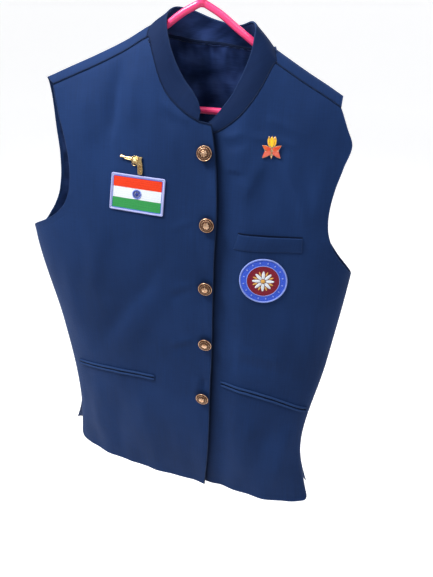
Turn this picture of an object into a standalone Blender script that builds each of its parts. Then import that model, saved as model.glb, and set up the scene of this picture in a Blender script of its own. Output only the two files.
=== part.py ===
"""A half coat: a sleeveless jacket with a band collar, hung on a tubular plastic hanger.

The origin is the point inside the top of the hanger's hook where a rail carries it.
+X runs to the wearer's left, +Y to the back and +Z up. The hanger lies in the plane y = 0.
Sizes in the tables are centimetres, and CM turns them into Blender's metres.
"""

import math
from typing import NamedTuple

import bmesh
import bpy
import numpy as np
from mathutils import Matrix, Vector

CM = 0.01
NAME = "half_coat"

# Cloth thickness and clearances
CLOTH = 0.20
LINING = 0.10
COLLAR = 0.24
SEAM_GAP = 0.03
LAYER_GAP = 0.03
LINING_GAP = 0.06
UNDER_INSET = 0.46
UNDER_HEM_LIFT = 0.5

# The body as a hollow form: how the cloth rounds over the hanger and towards the side seams
FOLD_REACH = 30.0
FOLD_POWER = 0.55
SIDE_POWER = 2.5
SEAM_DROP = 1.35
BACK_NECK_PUSH = 2.1
BACK_NECK_X = 1.5
BACK_NECK_Z = -14.4
BACK_NECK_WIDTH = 9.0
BACK_NECK_HEIGHT = 6.0

HEM_Z = -86.8
EVEN_BY = 0.35
HEM_DIP = 0.4
VENT_TOP_Z = -76.8


class Level(NamedTuple):
    """One horizontal ring of the front or of the back, from side fold to side fold."""

    z: float
    left_x: float
    left_y: float
    right_x: float
    right_y: float
    bulge: float


class Mark(NamedTuple):
    """A point of a panel's outline, and whether it lies on the front or the back of the fold."""

    x: float
    z: float
    face: int


class CollarStation(NamedTuple):
    """A place along the neck seam, and the point of the collar's top edge above it."""

    seam_x: float
    seam_z: float
    face: int
    top_x: float
    top_y: float
    top_z: float


class ArmPoint(NamedTuple):
    """A point of a hanger arm: its reach from the middle and its drop below the apex."""

    reach: float
    drop: float


FRONT_FACE = -1
BACK_FACE = 1

FRONT_LEVELS = (
    Level(-87.5, -24.0, 0.6, 20.9, -6.6, 3.7),
    Level(-76.5, -23.2, 0.2, 19.2, -5.9, 4.5),
    Level(-60.0, -24.6, -0.4, 21.4, -3.6, 5.3),
    Level(-44.0, -27.5, -0.8, 23.6, -1.6, 6.0),
    Level(-30.0, -28.0, -0.3, 24.5, -0.6, 6.3),
    Level(-8.0, -28.0, 0.0, 24.5, 0.0, 6.3),
)
# Height and bulge of the back, whose side folds are the front's down to the top of the vents
BACK_BULGES = ((-87.5, 3.6), (-76.5, 5.4), (-60.0, 5.6), (-44.0, 5.2), (-30.0, 5.3), (-8.0, 5.4))

# How far the back's edges swing away from the front's at the hem: left x, left y, right x, right y
VENT_FLARE = np.array((-2.9, 3.8, -0.5, 3.8))
VENT_FLARE_POWER = 1.35

# The top of the fold over the hanger, drawn on across the neck
RIDGE = (
    (-28.0, -21.8),
    (-23.3, -19.6),
    (-19.4, -17.9),
    (-15.4, -16.2),
    (-10.5, -13.9),
    (-7.3, -12.1),
    (0.0, -10.3),
    (5.0, -11.2),
    (10.1, -14.4),
    (14.5, -17.05),
    (18.8, -19.5),
    (21.5, -21.3),
    (24.5, -23.0),
)

# The collar, from the over front's end round the back of the neck to the under front's end
COLLAR_STATIONS = (
    CollarStation(0.9, -23.4, FRONT_FACE, 1.0, -4.7, -22.1),
    CollarStation(-0.7, -22.6, FRONT_FACE, 0.6, -4.4, -20.9),
    CollarStation(-2.3, -21.5, FRONT_FACE, -0.2, -4.1, -19.7),
    CollarStation(-3.9, -20.0, FRONT_FACE, -1.3, -3.7, -18.5),
    CollarStation(-4.9, -18.4, FRONT_FACE, -2.4, -3.3, -16.9),
    CollarStation(-5.7, -16.5, FRONT_FACE, -3.5, -2.6, -14.8),
    CollarStation(-6.4, -14.8, FRONT_FACE, -4.2, -1.8, -13.0),
    CollarStation(-7.0, -13.3, FRONT_FACE, -4.6, -0.9, -11.5),
    CollarStation(-7.1, -12.2, BACK_FACE, -4.9, 0.7, -10.3),
    CollarStation(-6.4, -13.0, BACK_FACE, -4.7, 2.4, -9.8),
    CollarStation(-3.4, -13.9, BACK_FACE, -2.9, 3.7, -10.0),
    CollarStation(1.5, -14.4, BACK_FACE, 1.0, 4.0, -11.3),
    CollarStation(6.2, -14.8, BACK_FACE, 4.7, 3.0, -11.8),
    CollarStation(8.9, -14.9, BACK_FACE, 6.5, 1.4, -11.2),
    CollarStation(9.8, -14.6, BACK_FACE, 7.2, -0.5, -11.3),
    CollarStation(10.3, -16.1, FRONT_FACE, 7.4, -1.8, -12.8),
    CollarStation(9.3, -18.0, FRONT_FACE, 7.1, -2.5, -14.8),
    CollarStation(8.4, -19.7, FRONT_FACE, 6.5, -3.0, -16.6),
    CollarStation(7.3, -21.3, FRONT_FACE, 5.8, -3.5, -18.3),
    CollarStation(6.2, -22.6, FRONT_FACE, 5.0, -3.9, -19.9),
    CollarStation(4.9, -23.7, FRONT_FACE, 4.0, -4.2, -21.3),
    CollarStation(3.5, -24.6, FRONT_FACE, 2.9, -4.4, -22.7),
    CollarStation(1.6, -25.3, FRONT_FACE, 1.3, -4.5, -24.3),
)
COLLAR_BACK_START = 8
COLLAR_BACK_END = 14
NECK_LIFT = 0.19

# How finely the panels are divided
LEFT_SHOULDER_COLUMNS = 8
RIGHT_SHOULDER_COLUMNS = 6
NECK_COLUMNS = 14
BACK_NECK_COLUMNS = 11
TURN_COLUMNS = 3
WRAP_ROWS = 4
ARMHOLE_ROWS = 12
SIDE_ROWS = 8
VENT_ROWS = 3
LINING_START = 3
LINING_ROWS = 17

# Outlines of the panels
OVER_STAND = (Mark(0.9, -23.4, FRONT_FACE), Mark(2.7, -23.7, FRONT_FACE))
OVER_EDGE = (
    Mark(2.7, -23.7, FRONT_FACE),
    Mark(3.4, -27.7, FRONT_FACE),
    Mark(3.9, -34.5, FRONT_FACE),
    Mark(3.7, -44.0, FRONT_FACE),
    Mark(3.6, -62.0, FRONT_FACE),
    Mark(3.4, -77.0, FRONT_FACE),
    Mark(2.7, HEM_Z, FRONT_FACE),
)
UNDER_STAND = (Mark(1.6, -25.3, FRONT_FACE), Mark(-1.6, -25.9, FRONT_FACE))
UNDER_EDGE = (
    Mark(-1.6, -25.9, FRONT_FACE),
    Mark(-1.4, -44.0, FRONT_FACE),
    Mark(-1.6, -62.0, FRONT_FACE),
    Mark(-2.0, HEM_Z + UNDER_HEM_LIFT, FRONT_FACE),
)
LEFT_SHOULDER_END = -21.9
RIGHT_SHOULDER_END = 19.5
LEFT_ARMHOLE_FRONT = (
    Mark(-21.3, -22.6, FRONT_FACE),
    Mark(-20.7, -24.6, FRONT_FACE),
    Mark(-19.5, -28.6, FRONT_FACE),
    Mark(-19.0, -31.8, FRONT_FACE),
    Mark(-19.2, -35.0, FRONT_FACE),
    Mark(-20.2, -37.6, FRONT_FACE),
    Mark(-22.0, -39.6, FRONT_FACE),
    Mark(-24.3, -41.1, FRONT_FACE),
    Mark(-26.3, -42.2, FRONT_FACE),
)
RIGHT_ARMHOLE_FRONT = (
    Mark(20.6, -23.8, FRONT_FACE),
    Mark(21.5, -26.0, FRONT_FACE),
    Mark(20.7, -29.0, FRONT_FACE),
    Mark(19.8, -32.3, FRONT_FACE),
    Mark(19.4, -35.4, FRONT_FACE),
    Mark(19.6, -38.0, FRONT_FACE),
    Mark(20.5, -40.5, FRONT_FACE),
    Mark(21.9, -42.7, FRONT_FACE),
    Mark(23.0, -44.2, FRONT_FACE),
)
LEFT_ARMHOLE_BACK = (
    Mark(-23.4, -21.5, BACK_FACE),
    Mark(-23.6, -26.9, BACK_FACE),
    Mark(-23.6, -32.0, BACK_FACE),
    Mark(-23.9, -35.6, BACK_FACE),
    Mark(-24.6, -38.6, BACK_FACE),
    Mark(-25.8, -41.0, BACK_FACE),
    Mark(-26.9, -42.6, BACK_FACE),
)
RIGHT_ARMHOLE_BACK = (
    Mark(19.3, -21.5, BACK_FACE),
    Mark(18.6, -24.0, BACK_FACE),
    Mark(18.0, -29.0, BACK_FACE),
    Mark(17.8, -33.5, BACK_FACE),
    Mark(18.2, -37.5, BACK_FACE),
    Mark(19.3, -40.8, BACK_FACE),
    Mark(20.9, -43.0, BACK_FACE),
    Mark(22.5, -44.5, BACK_FACE),
)
LEFT_TIP_X = -23.3
RIGHT_TIP_X = 19.6
LEFT_PIT_Z = -43.3
RIGHT_PIT_Z = -45.2
CORNER_LIFT = 0.7
BOUNDARY_SMOOTHING = 5

# Buttons: turned metal domes on shanks, 1.5 cm in from the over front's edge
BUTTON_RADIUS = 1.08
BUTTON_DOME = 0.36
BUTTON_RIM = 0.12
SHANK_RADIUS = 0.28
SHANK_LENGTH = 0.34
BUTTON_STEPS = 18
BUTTON_PLACES = ((1.9, -27.5), (2.55, -37.5), (2.5, -47.5), (2.6, -57.2), (2.3, -67.5))
BUTTON_DROOPS = (-4.0, 2.0, 6.0, 9.0, 7.0)

# Pockets, patches and pins, each by its places on the front
WELT_CORNERS = ((7.0, -38.6), (16.1, -38.8), (16.2, -41.0), (6.4, -41.0))
WELT_THICKNESS = 0.16
LEFT_POCKET = ((-21.2, -67.2), (-6.2, -65.6))
RIGHT_POCKET = ((5.4, -64.6), (18.6, -68.0))
JET_HEIGHT = 0.30
JET_THICKNESS = 0.12
JET_SLIT = 0.06
FLAG_CORNERS = ((-11.8, -31.3), (-3.6, -31.5), (-4.0, -36.9), (-12.3, -36.6))
PATCH_THICKNESS = 0.12
ROUND_PATCH_CENTRE = (11.0, -45.5)
ROUND_PATCH_RADIUS = 3.5
PIN_THICKNESS = 0.16
REVOLVER_LIFT = 0.15
FLOWER_LIFT = 0.14
REVOLVER_PLACE = (-8.6, -29.6)
REVOLVER_TURN = -7.0
FLOWER_PLACE = (10.9, -26.5)

# The hanger
TUBE_RADIUS = 0.5
APEX_Z = -9.0
BAR_Z = -23.0
HANGER_TILT = 0.02
ARM_POINTS = (
    ArmPoint(0.0, 0.0),
    ArmPoint(2.6, 1.40),
    ArmPoint(5.1, 3.20),
    ArmPoint(7.1, 4.60),
    ArmPoint(10.1, 6.80),
    ArmPoint(14.5, 9.90),
    ArmPoint(16.9, 11.45),
)
END_REACH = 18.2
END_RADIUS = 1.25
HOOK_RADIUS = 2.6
HOOK_TUBE = 0.45
STEM_RADIUS = 0.66
HOOK_SWEEP = 232.0

MATERIALS = {
    "navy_cloth": ((0.030, 0.062, 0.165), 0.75, 0.0),
    "navy_trim": ((0.036, 0.075, 0.190), 0.70, 0.0),
    "satin_lining": ((0.012, 0.022, 0.085), 0.38, 0.0),
    "button_metal": ((0.62, 0.36, 0.20), 0.32, 0.9),
    "pin_brass": ((0.70, 0.48, 0.22), 0.35, 0.9),
    "pin_enamel": ((0.90, 0.22, 0.03), 0.30, 0.1),
    "flag_thread": ((0.80, 0.82, 0.90), 0.60, 0.0),
    "patch_thread": ((0.06, 0.10, 0.60), 0.60, 0.0),
    "pink_plastic": ((0.95, 0.06, 0.20), 0.32, 0.0),
}


def clear_scene() -> bpy.types.Collection:
    """Empty the scene and return a new collection for the coat."""
    for item in list(bpy.data.objects):
        bpy.data.objects.remove(item, do_unlink=True)
    coat = bpy.data.collections.new(NAME)
    bpy.context.scene.collection.children.link(coat)
    return coat


def make_material(name: str) -> bpy.types.Material:
    """Return the named Principled material, made once."""
    found = bpy.data.materials.get(name)
    if found is not None:
        return found
    colour, roughness, metallic = MATERIALS[name]
    material = bpy.data.materials.new(name)
    material.use_nodes = True
    shader = material.node_tree.nodes["Principled BSDF"]
    shader.inputs["Base Color"].default_value = (*colour, 1.0)
    shader.inputs["Roughness"].default_value = roughness
    shader.inputs["Metallic"].default_value = metallic
    return material


class Curve:
    """A smooth curve through rows of numbers, each with its own place along the curve."""

    def __init__(self, places, values):
        order = np.argsort(places)
        self.places = np.asarray(places, float)[order]
        values = np.asarray(values, float)
        self.values = (values if values.ndim > 1 else values[:, None])[order]
        self.slopes = np.gradient(self.values, self.places, axis=0)

    def __call__(self, place):
        """Return the row at a place, held at the ends."""
        place = float(np.clip(place, self.places[0], self.places[-1]))
        i = int(np.clip(np.searchsorted(self.places, place) - 1, 0, len(self.places) - 2))
        span = self.places[i + 1] - self.places[i]
        t = (place - self.places[i]) / span
        rise = t * t * (3 - 2 * t)
        bend_in = t * (1 - t) * (1 - t) * span
        bend_out = t * t * (t - 1) * span
        row = self.values[i] * (1 - rise) + self.values[i + 1] * rise
        return row + self.slopes[i] * bend_in + self.slopes[i + 1] * bend_out


RIDGE_CURVE = Curve([x for x, _ in RIDGE], [z for _, z in RIDGE])
LEVEL_CURVE = Curve([row.z for row in FRONT_LEVELS], [row[1:] for row in FRONT_LEVELS])
BACK_BULGE_CURVE = Curve([z for z, _ in BACK_BULGES], [bulge for _, bulge in BACK_BULGES])


def level_at(z: float, face: int) -> np.ndarray:
    """The ring of the front or of the back at a height: left x and y, right x and y, bulge."""
    level = np.array(LEVEL_CURVE(z))
    if face == BACK_FACE:
        level[4] = BACK_BULGE_CURVE(z)[0]
        below_vent = max(VENT_TOP_Z - z, 0.0) / (VENT_TOP_Z - HEM_Z)
        level[:4] += VENT_FLARE * below_vent**VENT_FLARE_POWER
    return level


def ridge_z(x: float) -> float:
    """Height of the fold over the hanger at x."""
    return float(RIDGE_CURVE(x)[0])


def cloth_y(x: float, z: float, face: int) -> float:
    """Depth of the cloth's outer face at x, z on the front or the back."""
    left_x, left_y, right_x, right_y, bulge = level_at(z, face)
    across = float(np.clip((2 * x - left_x - right_x) / (right_x - left_x), -1, 1))
    rounding = math.sqrt(1 - abs(across) ** SIDE_POWER)
    drop = float(np.clip(ridge_z(x) - z, 0, FOLD_REACH))
    opening = (1 - (1 - drop / FOLD_REACH) ** 2) ** FOLD_POWER
    y = left_y + (right_y - left_y) * (across + 1) / 2 + face * bulge * rounding * opening
    if face == BACK_FACE:
        sideways = ((x - BACK_NECK_X) / BACK_NECK_WIDTH) ** 2
        down = ((z - BACK_NECK_Z) / BACK_NECK_HEIGHT) ** 2
        y += BACK_NECK_PUSH * math.exp(-sideways - down) * min(drop, 1.0)
    return y


def surface_point(x: float, z: float, face: int) -> np.ndarray:
    """Point of the cloth's outer face at x, z."""
    return np.array((x, cloth_y(x, z, face), z))


def surface_normal(x: float, z: float, face: int) -> np.ndarray:
    """Outward normal of the cloth at x, z, by small steps along it."""
    step = 0.05
    along = surface_point(x + step, z, face) - surface_point(x - step, z, face)
    up = surface_point(x, z + step, face) - surface_point(x, z - step, face)
    normal = np.cross(along, up)
    normal /= np.linalg.norm(normal)
    return normal if normal[1] * face > 0 else -normal


def lifted(x: float, z: float, lift: float) -> np.ndarray:
    """Point in front of the front panels, moved out from the cloth by lift."""
    return surface_point(x, z, FRONT_FACE) + surface_normal(x, z, FRONT_FACE) * lift


def to_fold(mark: Mark, on_back_panel: bool) -> np.ndarray:
    """Turn an outline point into the turn from side to side and the root of its drop."""
    left_x, _, right_x, _, _ = level_at(mark.z, mark.face)
    across = float(np.clip((2 * mark.x - left_x - right_x) / (right_x - left_x), -1, 1))
    root = math.sqrt(max(ridge_z(mark.x) - mark.z, 0.0))
    sign = -1 if on_back_panel and mark.face == FRONT_FACE else 1
    return np.array((math.asin(across) / (math.pi / 2), sign * root))


def from_fold(turn: float, root: float, on_back_panel: bool) -> np.ndarray:
    """Turn a turn and a root of the drop back into a point of the cloth's outer face."""
    face = BACK_FACE if on_back_panel and root >= 0 else FRONT_FACE
    x = 0.0
    for _ in range(12):
        z = ridge_z(x) - root * root
        left_x, _, right_x, _, _ = level_at(z, face)
        x = (left_x + right_x) / 2 + (right_x - left_x) / 2 * math.sin(turn * math.pi / 2)
    return surface_point(x, z, face)


def spread(marks, count: int, on_back_panel: bool) -> list:
    """Return count places, evenly apart along a smooth outline through the marks."""
    folds = np.array([to_fold(mark, on_back_panel) for mark in marks])
    points = np.array([surface_point(mark.x, mark.z, mark.face) for mark in marks])
    steps = np.linalg.norm(np.diff(points, axis=0), axis=1)
    places = np.concatenate(([0.0], np.cumsum(steps)))
    curve = Curve(places, folds)
    return [curve(place) for place in np.linspace(0, places[-1], count)]


def join_outlines(*stretches) -> list:
    """Join stretches of an outline, whose ends are shared."""
    points = list(stretches[0])
    for stretch in stretches[1:]:
        points.extend(stretch[1:])
    return points


def share(outline: list, axis: int) -> list:
    """How far along an outline each of its points lies, from 0 to 1, by one coordinate."""
    first = outline[0][axis]
    last = outline[-1][axis]
    return [(point[axis] - first) / (last - first) for point in outline]


def smoothed(values: list) -> list:
    """Average each value with its neighbours, keeping both ends."""
    result = list(values)
    for i in range(len(values)):
        reach = min(i, len(values) - 1 - i, BOUNDARY_SMOOTHING)
        window = values[i - reach : i + reach + 1]
        result[i] = sum(window) / len(window)
    return result


def panel_points(top, left, right, hem, on_back_panel: bool) -> np.ndarray:
    """Fill a panel between its four outlines: columns run from the top outline to the hem."""
    rows = len(left)
    columns = len(top)
    left_down = share(left, 1)
    right_down = share(right, 1)
    top_over = share(top, 0)
    left_base = smoothed([point[0] for point in left])
    right_base = smoothed([point[0] for point in right])
    grid = np.zeros((rows, columns, 3))
    for i in range(rows):
        evened = min(i / (rows - 1) / EVEN_BY, 1.0)
        evened = evened * evened * (3 - 2 * evened)
        for j in range(columns):
            even_over = j / (columns - 1)
            over = top_over[j] * (1 - evened) + even_over * evened
            down = left_down[i] * (1 - over) + right_down[i] * over
            turn = left_base[i] * (1 - over) + right_base[i] * over
            turn += (left[i][0] - left_base[i]) * (1 - over) ** 3
            turn += (right[i][0] - right_base[i]) * over ** 3
            root = top[j][1] * (1 - down) + hem[j][1] * down
            grid[i, j] = from_fold(turn, root, on_back_panel)
    return grid


def hem_outline(first, last, face: int, z_ends, lifts, count: int) -> list:
    """The hem from one corner's turn to the other's, dipping between, with lifted vent corners."""
    outline = []
    for over in np.linspace(0, 1, count):
        turn = first + (last - first) * over
        z = z_ends[0] + (z_ends[1] - z_ends[0]) * over - HEM_DIP * math.sin(math.pi * over)
        z += lifts[0] * (over == 0) + lifts[1] * (over == 1)
        left_x, _, right_x, _, _ = level_at(z, face)
        x = (left_x + right_x) / 2 + (right_x - left_x) / 2 * math.sin(turn * math.pi / 2)
        outline.append(np.array((turn, math.sqrt(ridge_z(x) - z))))
    return outline


def side_x(z: float, right: bool, face: int) -> float:
    """Where the side fold lies at a height."""
    levels = level_at(z, face)
    return float(levels[2] if right else levels[0])


def pull_apart(outline: list, right: bool) -> list:
    """Hold a side outline back from the fold by half the seam's gap."""
    limit = 1 - SEAM_GAP / 2 / 7.0
    return [np.array((min(p[0], limit) if right else max(p[0], -limit), p[1])) for p in outline]


def side_outline(wrap, armhole, right: bool, face: int, on_back_panel: bool) -> list:
    """Shoulder end, armhole, side seam and vent edge of a panel, down to its hem."""
    pit_z = RIGHT_PIT_Z if right else LEFT_PIT_Z
    corner_z = HEM_Z + CORNER_LIFT
    pit = Mark(side_x(pit_z, right, face), pit_z, face)
    heights = [*np.linspace(pit_z, VENT_TOP_Z, SIDE_ROWS), *np.linspace(VENT_TOP_Z, corner_z, VENT_ROWS)[1:]]
    seam = [to_fold(Mark(side_x(z, right, face), z, face), on_back_panel) for z in heights]
    stretches = [spread((*armhole, pit), ARMHOLE_ROWS, on_back_panel)]
    if wrap:
        stretches.insert(0, spread((*wrap, armhole[0]), WRAP_ROWS, on_back_panel))
    stretches.append(seam)
    return pull_apart(join_outlines(*stretches), right)


def grid_normals(grid: np.ndarray) -> np.ndarray:
    """Unit normals of a grid's points, towards the front, from the cells round each of them."""
    cells = np.cross(grid[1:, 1:] - grid[:-1, :-1], grid[:-1, 1:] - grid[1:, :-1])
    cells /= np.linalg.norm(cells, axis=2, keepdims=True)
    normals = np.zeros_like(grid)
    for rows in (slice(None, -1), slice(1, None)):
        for columns in (slice(None, -1), slice(1, None)):
            normals[rows, columns] += cells
    return normals / np.linalg.norm(normals, axis=2, keepdims=True)


def mitred(depths: np.ndarray, left: bool, right: bool) -> np.ndarray:
    """Turn the wall at a side seam straight sideways, so that front and back meet in a mitre."""
    first = len(depths) - (SIDE_ROWS + VENT_ROWS - 1)
    if left:
        depths[first:, 0] = (1.0, 0.0, 0.0)
    if right:
        depths[first:, -1] = (-1.0, 0.0, 0.0)
    return depths


def make_sheet(name: str, grid: np.ndarray, depths: np.ndarray, thickness: float, material: str):
    """Make a closed wall from the grid of its outer face and the unit vectors into its depth."""
    rows, columns, _ = grid.shape
    inner = grid + depths * thickness
    flip = float(np.sum(grid_normals(grid) * depths)) > 0
    model = bmesh.new()
    outer_points, inner_points = (
        [[model.verts.new(Vector(layer[i, j]) * CM) for j in range(columns)] for i in range(rows)]
        for layer in (grid, inner)
    )

    def add_face(*ring):
        model.faces.new(ring[::-1] if flip else ring)

    for i in range(rows - 1):
        for j in range(columns - 1):
            corner = (i + 1, j + 1)
            for half in (((i, j), (i + 1, j), corner), ((i, j), corner, (i, j + 1))):
                add_face(*(outer_points[a][b] for a, b in half))
                add_face(*(inner_points[a][b] for a, b in half[::-1]))
    rim = [(i, 0) for i in range(rows - 1)] + [(rows - 1, j) for j in range(columns - 1)]
    rim += [(i, columns - 1) for i in range(rows - 1, 0, -1)] + [(0, j) for j in range(columns - 1, 0, -1)]
    for (a, b), (c, d) in zip(rim, rim[1:] + rim[:1]):
        add_face(outer_points[c][d], outer_points[a][b], inner_points[a][b], inner_points[c][d])
    mesh = bpy.data.meshes.new(name)
    model.to_mesh(mesh)
    model.free()
    mesh.shade_smooth()
    mesh.materials.append(make_material(material))
    return bpy.data.objects.new(name, mesh)


def under_grid(grid: np.ndarray) -> np.ndarray:
    """Set the under front back where the over front laps it."""
    moved = grid.copy()
    for point in moved.reshape(-1, 3):
        point[1] += under_inset(point[0], point[2])
    return moved


def under_inset(x: float, z: float) -> float:
    """How far the under front lies behind the over front's surface."""
    edge_x = 3.2 if z > -30 else 3.9
    reach = float(np.clip((edge_x + 3.2 - x) / 3.0, 0, 1))
    return UNDER_INSET * reach * reach * (3 - 2 * reach)


def neck_marks(first: int, last: int) -> list:
    """Neck seam marks from one collar station to another."""
    step = 1 if last > first else -1
    chosen = [COLLAR_STATIONS[i] for i in range(first, last + step, step)]
    return [Mark(row.seam_x, row.seam_z, row.face) for row in chosen]


def seam_mark(x: float, drop: float) -> Mark:
    """Point of a forward shoulder seam, a set drop below the fold on the front."""
    return Mark(x, ridge_z(x) - drop, FRONT_FACE)


def over_grid() -> np.ndarray:
    """Outer face of the wearer's right front."""
    drop = SEAM_DROP + SEAM_GAP
    neck_end = seam_mark(-7.0, drop)
    shoulder = [seam_mark(x, drop) for x in np.linspace(LEFT_SHOULDER_END, -7.0, 6)]
    top = join_outlines(
        spread(shoulder, LEFT_SHOULDER_COLUMNS, False),
        spread([neck_end, *neck_marks(6, 0)], NECK_COLUMNS, False),
        spread(OVER_STAND, 3, False),
    )
    left = side_outline((), (shoulder[0], *LEFT_ARMHOLE_FRONT), False, FRONT_FACE, False)
    right = spread(OVER_EDGE, len(left), False)
    hem = hem_outline(left[-1][0], right[-1][0], FRONT_FACE, (HEM_Z, HEM_Z), (CORNER_LIFT, 0), len(top))
    return panel_points(top, left, right, hem, False)


def under_front_grid() -> np.ndarray:
    """Outer face of the wearer's left front."""
    drop = SEAM_DROP + SEAM_GAP
    neck_end = seam_mark(10.3, drop)
    shoulder = [seam_mark(x, drop) for x in np.linspace(10.3, RIGHT_SHOULDER_END, 6)]
    top = join_outlines(
        spread(UNDER_STAND[::-1], 3, False),
        spread([*neck_marks(len(COLLAR_STATIONS) - 1, 16), neck_end], NECK_COLUMNS, False),
        spread(shoulder, RIGHT_SHOULDER_COLUMNS, False),
    )
    right = side_outline((), (shoulder[-1], *RIGHT_ARMHOLE_FRONT), True, FRONT_FACE, False)
    left = spread(UNDER_EDGE, len(right), False)
    heights = (HEM_Z + UNDER_HEM_LIFT, HEM_Z)
    hem = hem_outline(left[-1][0], right[-1][0], FRONT_FACE, heights, (0, CORNER_LIFT), len(top))
    return under_grid(panel_points(top, left, right, hem, False))


def back_grid() -> np.ndarray:
    """Outer face of the back, from the forward shoulder seams over the fold to the hem."""
    drop = SEAM_DROP - SEAM_GAP
    left_seam = [seam_mark(x, drop) for x in np.linspace(LEFT_SHOULDER_END, -7.3, 5)]
    right_seam = [seam_mark(x, drop) for x in np.linspace(10.6, RIGHT_SHOULDER_END, 4)]
    neck = neck_marks(COLLAR_BACK_START, COLLAR_BACK_END)
    top = join_outlines(
        spread(left_seam, LEFT_SHOULDER_COLUMNS, True),
        spread((left_seam[-1], seam_mark(-7.2, 0.2), neck[0]), TURN_COLUMNS, True),
        spread(neck, BACK_NECK_COLUMNS, True),
        spread((neck[-1], seam_mark(10.2, 0.2), right_seam[0]), TURN_COLUMNS, True),
        spread(right_seam, RIGHT_SHOULDER_COLUMNS, True),
    )
    left_tip = Mark(LEFT_TIP_X, ridge_z(LEFT_TIP_X), BACK_FACE)
    right_tip = Mark(RIGHT_TIP_X, ridge_z(RIGHT_TIP_X), BACK_FACE)
    left_wrap = (left_seam[0], seam_mark(-22.7, 0.4))
    right_wrap = (right_seam[-1], seam_mark(19.55, 0.4))
    left = side_outline(left_wrap, (left_tip, *LEFT_ARMHOLE_BACK), False, BACK_FACE, True)
    right = side_outline(right_wrap, (right_tip, *RIGHT_ARMHOLE_BACK), True, BACK_FACE, True)
    lifts = (CORNER_LIFT, CORNER_LIFT)
    hem = hem_outline(left[-1][0], right[-1][0], BACK_FACE, (HEM_Z, HEM_Z), lifts, len(top))
    return panel_points(top, left, right, hem, True)


def make_over_front():
    """The wearer's right front, which laps over the other."""
    grid = over_grid()
    depths = mitred(-grid_normals(grid), True, False)
    return make_sheet("front_over", grid, depths, CLOTH, "navy_cloth")


def make_under_front():
    """The wearer's left front, whose edge is hidden under the other."""
    grid = under_front_grid()
    depths = mitred(-grid_normals(grid), False, True)
    return make_sheet("front_under", grid, depths, CLOTH, "navy_cloth")


def make_back():
    """The back, in one piece with the strips that wrap forward over the shoulders."""
    grid = back_grid()
    depths = mitred(grid_normals(grid), True, True)
    return make_sheet("back", grid, depths, CLOTH, "navy_cloth")


def make_lining():
    """The lining of the back, which shows in the neck and in the armhole."""
    grid = back_grid()
    depths = grid_normals(grid)
    part_lined = (slice(LINING_START, LINING_ROWS), slice(2, -2))
    inside = (grid + depths * (CLOTH + LINING_GAP))[part_lined]
    return make_sheet("back_lining", inside, depths[part_lined], LINING, "satin_lining")


def running_length(points: np.ndarray) -> np.ndarray:
    """Length along a line of points, up to each of them."""
    steps = np.linalg.norm(np.diff(points, axis=0), axis=1)
    return np.concatenate(([0.0], np.cumsum(steps)))


def neck_line() -> np.ndarray:
    """Points of the neck seam, shared with the panels, from the over end to the under end."""
    last = len(COLLAR_STATIONS) - 1
    drop = SEAM_DROP + SEAM_GAP
    over = spread([*neck_marks(0, 6), seam_mark(-7.0, drop)], NECK_COLUMNS, False)
    left_turn = spread((seam_mark(-7.3, drop), seam_mark(-7.2, 0.2), neck_marks(8, 9)[0]), TURN_COLUMNS, True)
    back = spread(neck_marks(COLLAR_BACK_START, COLLAR_BACK_END), BACK_NECK_COLUMNS, True)
    right_turn = spread((neck_marks(14, 15)[0], seam_mark(10.2, 0.2), seam_mark(10.6, drop)), TURN_COLUMNS, True)
    under = spread([seam_mark(10.3, drop), *neck_marks(16, last)], NECK_COLUMNS, False)
    points = [from_fold(*fold, False) for fold in over]
    points += [from_fold(*fold, True) for fold in join_outlines(left_turn, back, right_turn)[1:-1]]
    for fold in under:
        point = from_fold(*fold, False)
        point[1] += under_inset(point[0], point[2])
        points.append(point)
    return np.array(points)


def make_collar():
    """The band collar, standing on the neck seam and leaning in like a funnel."""
    feet = neck_line()
    places = running_length(feet)
    seams = np.array([surface_point(row.seam_x, row.seam_z, row.face) for row in COLLAR_STATIONS])
    crowns = np.array([(row.top_x, row.top_y, row.top_z) for row in COLLAR_STATIONS])
    station_places = running_length(seams)
    crown_curve = Curve(station_places * places[-1] / station_places[-1], crowns)
    heights = (0.0, 0.35, 0.7, 1.0)
    grid = np.zeros((len(heights), len(feet), 3))
    for j, foot in enumerate(feet):
        crown = crown_curve(places[j])
        rise = (crown - foot) / np.linalg.norm(crown - foot)
        start = foot + rise * NECK_LIFT
        for i, height in enumerate(heights):
            grid[i, j] = start + (crown - start) * height
    return make_sheet("collar", grid, -grid_normals(grid), COLLAR, "navy_cloth")


def front_point(x: float, z: float, lift: float) -> np.ndarray:
    """Point lifted off the front that shows at x, z, the under front included."""
    point = lifted(x, z, lift)
    if x > OVER_EDGE[2].x:
        point[1] += under_inset(x, z)
    return point


def make_trim(name: str, corners, columns: int, rows: int, thickness: float, material: str):
    """Make a flat trim that follows the front between four corners, clockwise from the top left."""
    top_left, top_right, bottom_right, bottom_left = (np.array(corner) for corner in corners)
    grid = np.zeros((rows, columns, 3))
    for i, down in enumerate(np.linspace(0, 1, rows)):
        for j, over in enumerate(np.linspace(0, 1, columns)):
            top = top_left * (1 - over) + top_right * over
            bottom = bottom_left * (1 - over) + bottom_right * over
            x, z = top * (1 - down) + bottom * down
            grid[i, j] = front_point(x, z, LAYER_GAP + thickness)
    return make_sheet(name, grid, -grid_normals(grid), thickness, material)


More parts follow.
